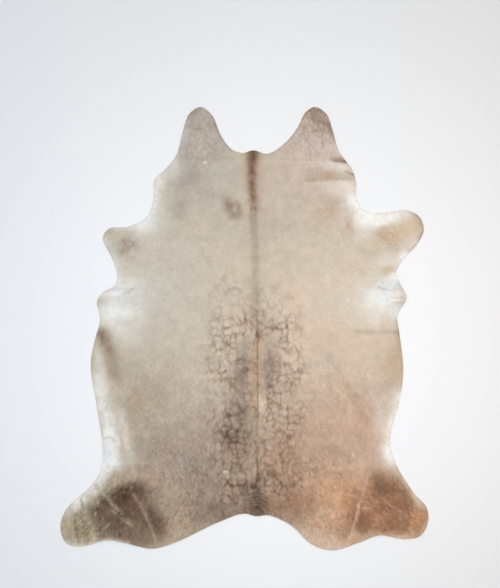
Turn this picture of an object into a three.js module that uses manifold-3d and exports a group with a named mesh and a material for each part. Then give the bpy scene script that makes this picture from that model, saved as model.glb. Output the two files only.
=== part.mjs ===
// A hair-on cowhide laid out flat with its hair side up. It is one tanned skin, so it is one solid:
// the natural outline of neck, legs, belly and rump, with the creases it keeps from being stored folded.
// Millimetres, +Z up, +Y towards the neck. The origin is on the floor under the middle of the hide.

import * as THREE from "three";
import { mergeVertices } from "three/addons/utils/BufferGeometryUtils.js";
import Module from "manifold-3d";

const wasm = await Module();
wasm.setup();

// Driving sizes: overall reach, tanned skin, and the short hair lying on it.
const HIDE_WIDTH = 1795;
const HIDE_LENGTH = 2162;
const SKIN_THICKNESS = 2.5;
const NAP_DEPTH = 2.5;

// How finely the edge and the creases are divided: steps between two landmarks, and over one crease.
const EDGE_STEPS = 5;
const CREASE_STEPS_ALONG = 12;
const CREASE_STEPS_ACROSS = 8;

// The uncut sheet is a little larger than the hide, and the outline cuts well above and below it.
const TRIM_MARGIN = 25;

const HAIR_FINISH = { color: 0xb9a995, roughness: 0.85, metalness: 0 };

// The edge of the right half, from the neck round to the tail. Each row is a landmark of the hide.
const RIGHT_EDGE = [
  { at: "neck stub", x: 44, y: 869 },
  { at: "nape dip", x: 112, y: 852 },
  { at: "nape", x: 195, y: 903 },
  { at: "neck inner side", x: 258, y: 979 },
  { at: "neck inner crown", x: 297, y: 1054 },
  { at: "neck tip", x: 344, y: 1081 },
  { at: "neck outer crown", x: 400, y: 1045 },
  { at: "neck outer side", x: 431, y: 962 },
  { at: "throat", x: 461, y: 860 },
  { at: "cheek top", x: 519, y: 782 },
  { at: "cheek", x: 543, y: 713 },
  { at: "cheek foot", x: 543, y: 633 },
  { at: "shoulder pit", x: 585, y: 577 },
  { at: "foreleg root", x: 663, y: 562 },
  { at: "foreleg top", x: 785, y: 577 },
  { at: "foreleg shoulder", x: 851, y: 545 },
  { at: "foreleg tip", x: 874, y: 479 },
  { at: "foreleg under", x: 839, y: 409 },
  { at: "foreleg back", x: 768, y: 333 },
  { at: "armpit", x: 737, y: 267 },
  { at: "elbow front", x: 761, y: 211 },
  { at: "elbow", x: 789, y: 156 },
  { at: "elbow back", x: 756, y: 89 },
  { at: "girth notch", x: 744, y: 53 },
  { at: "girth", x: 755, y: -28 },
  { at: "belly", x: 774, y: -198 },
  { at: "flank front", x: 757, y: -350 },
  { at: "flank", x: 718, y: -486 },
  { at: "flank pit", x: 710, y: -569 },
  { at: "stifle", x: 748, y: -681 },
  { at: "shank", x: 830, y: -808 },
  { at: "hind foot front", x: 886, y: -871 },
  { at: "hind foot", x: 896, y: -935 },
  { at: "hind foot back", x: 859, y: -1009 },
  { at: "hock", x: 785, y: -1027 },
  { at: "hock dip", x: 658, y: -1009 },
  { at: "buttock back", x: 563, y: -1042 },
  { at: "buttock", x: 429, y: -1081 },
  { at: "buttock inner", x: 327, y: -1051 },
  { at: "rump", x: 224, y: -958 },
  { at: "tail dip", x: 117, y: -911 },
];

// The edge of the left half, from the tail back round to the neck.
const LEFT_EDGE = [
  { at: "tail stub", x: 59, y: -916 },
  { at: "tail dip", x: -5, y: -903 },
  { at: "rump", x: -148, y: -954 },
  { at: "buttock inner", x: -336, y: -1042 },
  { at: "buttock", x: -453, y: -1073 },
  { at: "buttock back", x: -570, y: -1050 },
  { at: "hock dip", x: -668, y: -1033 },
  { at: "hock", x: -800, y: -1062 },
  { at: "hind foot back", x: -870, y: -1044 },
  { at: "hind foot", x: -898, y: -964 },
  { at: "hind foot front", x: -863, y: -874 },
  { at: "shank", x: -759, y: -779 },
  { at: "stifle", x: -705, y: -701 },
  { at: "flank pit", x: -688, y: -603 },
  { at: "flank", x: -717, y: -398 },
  { at: "belly", x: -750, y: -174 },
  { at: "girth", x: -729, y: -57 },
  { at: "girth notch", x: -703, y: 50 },
  { at: "elbow", x: -719, y: 128 },
  { at: "elbow front", x: -685, y: 177 },
  { at: "armpit tuck", x: -628, y: 210 },
  { at: "armpit", x: -618, y: 253 },
  { at: "foreleg back", x: -646, y: 345 },
  { at: "foreleg tip", x: -691, y: 440 },
  { at: "foreleg shoulder", x: -658, y: 488 },
  { at: "foreleg root", x: -566, y: 497 },
  { at: "shoulder pit", x: -475, y: 545 },
  { at: "cheek foot", x: -444, y: 630 },
  { at: "cheek", x: -440, y: 723 },
  { at: "cheek top", x: -390, y: 772 },
  { at: "throat", x: -332, y: 845 },
  { at: "neck outer side", x: -302, y: 957 },
  { at: "neck outer crown", x: -273, y: 1041 },
  { at: "neck tip", x: -215, y: 1081 },
  { at: "neck inner crown", x: -158, y: 1040 },
  { at: "neck inner side", x: -118, y: 947 },
  { at: "nape", x: -68, y: 878 },
  { at: "nape dip", x: -12, y: 856 },
];

// Ruffles and creases that lift the skin off the floor. Each runs from one end to the other, is highest
// half way and dies out at both ends, and bows to its left by the given amount half way. Left and right
// say how far its slopes reach on either hand. Neighbours overlap, so a sharp furrow lies between them,
// and one that ends past the edge of the hide lifts that edge too.
const CREASES = [
  { name: "throat ruffle", from: [370, 853], to: [585, 846], bow: 0, left: 40, right: 48, height: 9 },
  { name: "cheek ruffle", from: [255, 780], to: [600, 757], bow: 6, left: 44, right: 66, height: 14 },
  { name: "jaw ruffle", from: [240, 672], to: [620, 677], bow: 3, left: 58, right: 80, height: 12 },
  { name: "left armpit fold", from: [-760, 215], to: [-450, 221], bow: 4, left: 30, right: 44, height: 10 },
  { name: "left elbow fold", from: [-850, 145], to: [-440, 156], bow: -5, left: 44, right: 48, height: 8 },
  { name: "right armpit fold", from: [600, 226], to: [900, 214], bow: 5, left: 30, right: 46, height: 10 },
  { name: "right elbow fold", from: [620, 149], to: [920, 138], bow: -5, left: 46, right: 44, height: 8 },
  { name: "right girth fold", from: [450, 1], to: [860, -10], bow: 3, left: 58, right: 26, height: 7 },
  { name: "left flank bulge", from: [-672, -462], to: [-640, -704], bow: 8, left: 44, right: 58, height: 11 },
  { name: "left thigh crease", from: [-560, -775], to: [-415, -1085], bow: 9, left: 24, right: 24, height: 6 },
  { name: "left shank crease", from: [-730, -772], to: [-530, -965], bow: -7, left: 24, right: 24, height: 6 },
  { name: "left foot crease", from: [-796, -795], to: [-746, -1065], bow: 5, left: 22, right: 22, height: 5 },
  { name: "left stifle crease", from: [-622, -518], to: [-460, -750], bow: 8, left: 24, right: 24, height: 5 },
  { name: "right thigh crease", from: [612, -660], to: [486, -1025], bow: -9, left: 24, right: 24, height: 6 },
];

const THICKNESS = SKIN_THICKNESS + NAP_DEPTH;

// A smooth hump over -1 to 1: one half way, level there and at both ends, and nothing beyond them.
function hump(place) {
  const fall = Math.max(0, 1 - place * place);
  return fall * fall;
}

// A block under a crease, with a level base, whose upper face starts at the given level round its rim
// and rises to the crease's full height.
function creaseBlock({ from, to, bow, left, right, height }, base, level) {
  const block = new THREE.BoxGeometry(2, 2, level - base, CREASE_STEPS_ALONG, CREASE_STEPS_ACROSS, 1);
  block.translate(0, 0, (level + base) / 2);
  const start = new THREE.Vector2(...from);
  const run = new THREE.Vector2(...to).sub(start);
  const leftward = new THREE.Vector2(-run.y, run.x).normalize();
  const points = block.attributes.position;
  for (let i = 0; i < points.count; i += 1) {
    const along = points.getX(i);
    const across = points.getY(i);
    const sideways = across * (across > 0 ? left : right) + bow * hump(along);
    const place = start.clone().addScaledVector(run, (1 + along) / 2).addScaledVector(leftward, sideways);
    const lift = points.getZ(i) > base ? height * hump(along) * hump(across) : 0;
    points.setXYZ(i, place.x, place.y, points.getZ(i) + lift);
  }
  return block;
}

// The trimming outline: a smooth closed curve through the landmarks, standing through the sheet.
function trimOutline() {
  const landmarks = [...RIGHT_EDGE, ...LEFT_EDGE].map(({ x, y }) => new THREE.Vector3(x, y, 0));
  const edge = new THREE.CatmullRomCurve3(landmarks, true, "centripetal");
  const points = edge.getPoints(EDGE_STEPS * landmarks.length).slice(0, -1);
  const outline = new THREE.Shape(points.map(({ x, y }) => new THREE.Vector2(x, y)));
  const highest = THICKNESS + Math.max(...CREASES.map(({ height }) => height));
  const cutter = new THREE.ExtrudeGeometry(outline, { depth: highest + 2 * TRIM_MARGIN, bevelEnabled: false });
  return cutter.translate(0, 0, -TRIM_MARGIN);
}

// A closed geometry as a solid that can be cut.
function toSolid(geometry) {
  geometry.deleteAttribute("normal");
  geometry.deleteAttribute("uv");
  const closed = mergeVertices(geometry);
  const vertProperties = new Float32Array(closed.attributes.position.array);
  const triVerts = new Uint32Array(closed.index.array);
  return new wasm.Manifold(new wasm.Mesh({ numProp: 3, vertProperties, triVerts }));
}

// A solid as a geometry that can be shown.
function toGeometry(solid) {
  const mesh = solid.getMesh();
  const geometry = new THREE.BufferGeometry();
  geometry.setAttribute("position", new THREE.BufferAttribute(mesh.vertProperties, 3));
  geometry.setIndex(new THREE.BufferAttribute(mesh.triVerts, 1));
  geometry.computeVertexNormals();
  return geometry;
}

// The skin before it is trimmed: a flat sheet, raised over each crease and hollow beneath it.
function creasedSheet() {
  const flat = new THREE.BoxGeometry(HIDE_WIDTH + 2 * TRIM_MARGIN, HIDE_LENGTH + 2 * TRIM_MARGIN, THICKNESS);
  let sheet = toSolid(flat.translate(0, 0, THICKNESS / 2));
  for (const crease of CREASES) {
    sheet = sheet.add(toSolid(creaseBlock(crease, THICKNESS / 2, THICKNESS)));
  }
  for (const crease of CREASES) {
    sheet = sheet.subtract(toSolid(creaseBlock(crease, -TRIM_MARGIN, 0)));
  }
  return sheet;
}

const trimmed = creasedSheet().intersect(toSolid(trimOutline()));
const hide = new THREE.Mesh(toGeometry(trimmed), new THREE.MeshStandardMaterial(HAIR_FINISH));
hide.name = "hide";

const cowhide = new THREE.Group();
cowhide.add(hide);

export default cowhide;
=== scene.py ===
"""A hair-on cowhide laid out flat with its hair side up.

The tanned skin is one creased sheet, trimmed to the natural outline of neck, legs, belly and rump. On it
lies the coat: short flat locks combed the way the hair grows, dyed by one map of natural markings and of
painted shade and light at folds, rims and roots, with a finer fringe along the trimmed edge. Lengths are
millimetres until a mesh is made, and +Y is towards the neck.
"""

import logging
import math
from dataclasses import dataclass, field
from enum import Enum

import bpy
import numpy as np
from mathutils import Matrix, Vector
from mathutils.geometry import delaunay_2d_cdt


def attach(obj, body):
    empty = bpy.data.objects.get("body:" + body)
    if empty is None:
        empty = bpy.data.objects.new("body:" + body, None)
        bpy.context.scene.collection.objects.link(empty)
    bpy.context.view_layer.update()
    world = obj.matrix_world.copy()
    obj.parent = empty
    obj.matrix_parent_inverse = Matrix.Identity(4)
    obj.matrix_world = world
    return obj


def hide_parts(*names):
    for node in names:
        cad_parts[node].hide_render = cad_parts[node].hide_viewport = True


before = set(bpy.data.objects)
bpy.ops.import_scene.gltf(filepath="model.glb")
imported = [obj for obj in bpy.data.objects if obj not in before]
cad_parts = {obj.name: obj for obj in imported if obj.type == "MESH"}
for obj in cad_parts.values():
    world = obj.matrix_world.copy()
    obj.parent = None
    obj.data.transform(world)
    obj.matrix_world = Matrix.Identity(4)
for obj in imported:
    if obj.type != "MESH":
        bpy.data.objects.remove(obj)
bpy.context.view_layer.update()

LOG = logging.getLogger("cowhide")
Array = np.ndarray
Place = tuple[float, float]
Colour = tuple[float, float, float]
Point = tuple[float, float, float]
Span = tuple[float, float]
Socket = bpy.types.NodeSocket

MM = 0.001
BODY = "root"
NODE = "hide"
TONE_LAYER = "coat_tone"
PLAN_UV = "OFBake"

# The edge of the right half as landmarks, from the neck stub round to the tail.
RIGHT_EDGE: tuple[Place, ...] = (
    (44, 869), (112, 852), (195, 903), (258, 979), (297, 1054), (344, 1081), (400, 1045),
    (431, 962), (461, 860), (519, 782), (543, 713), (543, 633), (585, 577), (663, 562),
    (785, 577), (851, 545), (874, 479), (839, 409), (768, 333), (737, 267), (761, 211),
    (789, 156), (756, 89), (744, 53), (755, -28), (774, -198), (757, -350), (718, -486),
    (710, -569), (748, -681), (830, -808), (886, -871), (896, -935), (859, -1009),
    (785, -1027), (658, -1009), (563, -1042), (429, -1081), (327, -1051), (224, -958), (117, -911),
)
# The edge of the left half, from the tail stub back round to the neck.
LEFT_EDGE: tuple[Place, ...] = (
    (59, -916), (-5, -903), (-148, -954), (-336, -1042), (-453, -1073), (-570, -1050),
    (-668, -1033), (-800, -1062), (-870, -1044), (-898, -964), (-863, -874), (-759, -779),
    (-705, -701), (-688, -603), (-717, -398), (-750, -174), (-729, -57), (-703, 50),
    (-719, 128), (-685, 177), (-628, 210), (-618, 253), (-646, 345), (-691, 440), (-658, 488),
    (-566, 497), (-475, 545), (-444, 630), (-440, 723), (-390, 772), (-332, 845), (-302, 957),
    (-273, 1041), (-215, 1081), (-158, 1040), (-118, 947), (-68, 878), (-12, 856),
)


class Tint(Enum):
    """Hair colours of the coat as they look in daylight: red, green and blue from 0 to 255."""

    SAND = (194, 182, 166)
    DRIFT = (195, 188, 175)
    ASH = (183, 174, 166)
    FLINT = (170, 161, 150)
    MIST = (189, 187, 179)
    SLATE = (152, 143, 136)
    OATMEAL = (211, 194, 175)
    FAWN = (202, 184, 171)
    HAZEL = (176, 157, 143)
    PEARL = (223, 212, 200)
    SHELL = (229, 218, 211)
    BLUSH = (208, 194, 187)
    ALMOND = (215, 200, 183)
    TAUPE = (159, 144, 130)
    DUST = (176, 161, 143)
    CLAY = (181, 151, 130)
    ROSEWOOD = (193, 164, 142)
    TAN = (207, 168, 135)
    DUN = (180, 160, 137)
    BISQUE = (213, 184, 161)
    CHALK = (233, 234, 231)
    CREAM = (245, 242, 237)
    # Bluish bare skin; in the armpits it is painted shade, standing in for the shadow in the folds.
    SKIN = (226, 229, 233)
    HONEY = (213, 191, 166)
    OCHRE = (196, 166, 124)
    SPICE = (192, 166, 141)
    STRAW = (192, 181, 156)
    OLIVE = (152, 137, 116)
    LOAM = (118, 100, 84)
    BARK = (112, 87, 68)
    SMOKE = (128, 111, 99)
    UMBER = (88, 69, 56)
    FOX = (186, 140, 106)
    MINK = (151, 113, 89)
    RUSSET = (138, 102, 80)


class Edge(Enum):
    """How a marking fades across its reach: the power of the bell that it follows."""

    SOFT = 1.0
    FIRM = 2.0


class Band(Enum):
    """Lengths of the coat from neck to tail, each made as one piece: lowest and highest place along it."""

    NECK = (435.0, 1200.0)
    SHOULDER = (60.0, 435.0)
    BARREL = (-306.0, 60.0)
    LOIN = (-681.0, -306.0)
    RUMP = (-1200.0, -681.0)


def hump(place: Array) -> Array:
    """A smooth rise over -1 to 1: one half way, level there and at both ends, and nothing beyond."""
    return np.maximum(0.0, 1.0 - place * place) ** 2


def to_linear(colour: Array) -> Array:
    """Turn display colours from 0 to 255 into linear light from 0 to 1, by the usual display curve."""
    share = np.clip(np.asarray(colour, float) / 255.0, 0.0, 1.0)
    return np.where(share <= 0.04045, share / 12.92, ((share + 0.055) / 1.055) ** 2.4)


class Mottle:
    """Seeded cloudy variation: random values on a square lattice, eased between lattice points."""

    SIDE = 256
    FADE = 0.55
    LAYER_ASIDE = (37.1, 11.7)

    def __init__(self, seed: int) -> None:
        """Draw the lattice once from the seed."""
        self.values = np.random.default_rng(seed).uniform(-1.0, 1.0, (self.SIDE, self.SIDE))

    def layer(self, u: Array, v: Array) -> Array:
        """Blend the four lattice values round each place, with an eased weight along each way.

        Args:
            u: Places along the first way, in lattice steps.
            v: Places along the second way, in lattice steps.

        Returns:
            Values from -1 to 1.
        """
        column, row = np.floor(u).astype(int), np.floor(v).astype(int)
        s, t = u - column, v - row
        s, t = s * s * (3.0 - 2.0 * s), t * t * (3.0 - 2.0 * t)
        near, far = column % self.SIDE, (column + 1) % self.SIDE
        low, high = row % self.SIDE, (row + 1) % self.SIDE
        lower = self.values[near, low] * (1.0 - s) + self.values[far, low] * s
        upper = self.values[near, high] * (1.0 - s) + self.values[far, high] * s
        return lower * (1.0 - t) + upper * t

    def __call__(self, x: Array, y: Array, size: float, octaves: int = 1) -> Array:
        """Add layers, each half as large as the one before and a little weaker.

        Args:
            x: Places across the hide.
            y: Places along the hide.
            size: Size of the largest clouds.
            octaves: Number of layers.

        Returns:
            Values from about -1 to 1.
        """
        weights = self.FADE ** np.arange(octaves)
        across, along = self.LAYER_ASIDE
        layers = [
            weight * self.layer(x / size * 2**step + across * step, y / size * 2**step + along * step)
            for step, weight in enumerate(weights)
        ]
        return sum(layers) / weights.sum()


WARP, BROKEN, GRAIN = Mottle(11), Mottle(37), Mottle(23)


@dataclass(frozen=True)
class Cloud:
    """One reading of a cloudy variation: its strength, the size of its clouds, and how far aside it lies.

    Readings of one variation differ in size or lie aside by a round number, so that no two of them line up.
    """

    source: Mottle
    amount: float
    size: float
    octaves: int = 1
    aside: Place = (0.0, 0.0)

    def __call__(self, x: Array, y: Array) -> Array:
        """The amount times the variation at places that much aside."""
        return self.amount * self.source(x + self.aside[0], y + self.aside[1], self.size, self.octaves)


@dataclass(frozen=True)
class Breaks:
    """How a marking comes and goes: a usual strength that a cloud moves, held between two limits."""

    usual: float
    cloud: Cloud
    limits: Span

    def __call__(self, x: Array, y: Array) -> Array:
        """The usual strength and the cloud's together, within the limits."""
        return np.clip(self.usual + self.cloud(x, y), *self.limits)


@dataclass(frozen=True)
class Push:
    """Clouds that push places about: how far, their size and layers, and how far aside they lie each way."""

    amount: float
    size: float
    octaves: int
    across: Place
    along: Place

    def __call__(self, x: Array, y: Array) -> list[Array]:
        """The push across the hide and the push along it."""
        asides = (self.across, self.along)
        return [Cloud(WARP, self.amount, self.size, self.octaves, aside)(x, y) for aside in asides]


def pushed(x: Array, y: Array, *pushes: Push) -> tuple[Array, Array]:
    """Add several pushes to places, each of them read at the places as they were.

    Args:
        x: Places across the hide.
        y: Places along the hide.
        pushes: The pushes to add.

    Returns:
        The pushed places across and along the hide.
    """
    across, along = zip(*[push(x, y) for push in pushes])
    return sum(across, x), sum(along, y)


@dataclass(frozen=True)
class Oval:
    """A soft oval part of the hide: a bell over an ellipse, turned anticlockwise by some degrees."""

    name: str
    strength: float
    at: Place
    reach: Place
    turn: float = 0.0
    edge: Edge = Edge.SOFT

    def weight(self, x: Array, y: Array) -> Array:
        """Strength times exp(-(d squared) to the edge power), d being the distance in reaches."""
        angle = math.radians(self.turn)
        dx, dy = x - self.at[0], y - self.at[1]
        u = (dx * math.cos(angle) + dy * math.sin(angle)) / self.reach[0]
        v = (dy * math.cos(angle) - dx * math.sin(angle)) / self.reach[1]
        return self.strength * np.exp(-((u * u + v * v) ** self.edge.value))


def strongest(ovals: tuple[Oval, ...], x: Array, y: Array) -> Array:
    """The weight of whichever oval covers each place most."""
    return np.max([oval.weight(x, y) for oval in ovals], axis=0)


@dataclass(frozen=True)
class Patch:
    """A marking of one colour over an oval."""

    tint: Tint
    oval: Oval

    def weight(self, x: Array, y: Array) -> Array:
        """How much of the marking covers each place."""
        return self.oval.weight(x, y)


@dataclass(frozen=True)
class Streak:
    """A soft line marking along a short path, whose strength changes from its start to its end."""

    tint: Tint
    name: str
    start: float
    end: float
    left: float
    right: float
    path: tuple[Place, ...]
    edge: Edge = Edge.SOFT

    def weight(self, x: Array, y: Array) -> Array:
        """A bell over the distance to the nearest leg, times the strength at that point of the path.

        Args:
            x: Places across the hide.
            y: Places along the hide.

        Returns:
            How much of the marking covers each place, its bell being wider on one hand than the other.
        """
        points = np.array(self.path, float)
        legs = np.diff(points, axis=0)
        lengths = np.hypot(legs[:, 0], legs[:, 1])
        gone = np.concatenate([[0.0], np.cumsum(lengths)])
        away, run, half = np.full(x.shape, np.inf), np.zeros(x.shape), np.ones(x.shape)
        for start, leg, length, before in zip(points[:-1], legs, lengths, gone[:-1]):
            dx, dy = x - start[0], y - start[1]
            along = np.clip((dx * leg[0] + dy * leg[1]) / length**2, 0.0, 1.0)
            reach = np.hypot(dx - along * leg[0], dy - along * leg[1])
            nearer = reach < away
            run = np.where(nearer, (before + along * length) / gone[-1], run)
            half = np.where(nearer, np.where(dy * leg[0] > dx * leg[1], self.left, self.right), half)
            away = np.minimum(away, reach)
        strength = self.start + (self.end - self.start) * run
        return strength * np.exp(-((away / half) ** (2.0 * self.edge.value)))


@dataclass(frozen=True)
class Crease:
    """A crease or ruffle from one end to the other, highest half way, bowed to its left by some amount."""

    name: str
    start: Place
    end: Place
    bow: float
    left: float
    right: float
    height: float

    def lift(self, x: Array, y: Array) -> Array:
        """Height times a hump along the crease times a hump across it, wider on one hand than the other."""
        run = np.subtract(self.end, self.start)
        length = math.hypot(*run)
        dx, dy = x - self.start[0], y - self.start[1]
        along = 2.0 * (dx * run[0] + dy * run[1]) / length**2 - 1.0
        across = (dy * run[0] - dx * run[1]) / length - self.bow * hump(along)
        return self.height * hump(along) * hump(across / np.where(across > 0.0, self.left, self.right))


CREASES = (
    Crease("throat ruffle", (370, 853), (585, 846), 0, 40, 48, 9),
    Crease("cheek ruffle", (255, 780), (600, 757), 6, 44, 66, 14),
    Crease("jaw ruffle", (240, 672), (620, 677), 3, 58, 80, 12),
    Crease("left armpit fold", (-760, 215), (-450, 221), 4, 30, 44, 10),
    Crease("left elbow fold", (-850, 145), (-440, 156), -5, 44, 48, 8),
    Crease("right armpit fold", (600, 226), (900, 214), 5, 30, 46, 10),
    Crease("right elbow fold", (620, 149), (920, 138), -5, 46, 44, 8),
    Crease("right girth fold", (450, 1), (860, -10), 3, 58, 26, 7),
    Crease("left flank bulge", (-672, -462), (-640, -704), 8, 44, 58, 11),
    Crease("left thigh crease", (-560, -775), (-415, -1085), 9, 24, 24, 6),
    Crease("left shank crease", (-730, -772), (-530, -965), -7, 24, 24, 6),
    Crease("left foot crease", (-796, -795), (-746, -1065), 5, 22, 22, 5),
    Crease("left stifle crease", (-622, -518), (-460, -750), 8, 24, 24, 5),
    Crease("right thigh crease", (612, -660), (486, -1025), -9, 24, 24, 6),
)

# Small wrinkles besides the creases, too fine for the solid.
WRINKLES = (
    Crease("neck wrinkle", (255, 955), (435, 980), 4, 10, 10, 1.2),
    Crease("upper neck wrinkle", (320, 1060), (345, 985), 4, 10, 10, 1.2),
    Crease("throat line", (180, 818), (400, 816), 3, 10, 10, 0.8),
    Crease("left foot wrinkle", (-826, -905), (-818, -1045), 3, 10, 10, 2.0),
    Crease("left heel wrinkle", (-725, -890), (-735, -990), 3, 10, 10, 1.6),
    Crease("left shank wrinkle", (-715, -975), (-630, -880), 4, 14, 14, 2.4),
    Crease("upper elbow wrinkle", (675, 151), (775, 151), 2, 7, 7, 1.2),
    Crease("middle elbow wrinkle", (680, 136), (775, 136), 2, 7, 7, 1.2),
    Crease("lower elbow wrinkle", (680, 121), (770, 121), 2, 7, 7, 1.2),
)

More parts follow.
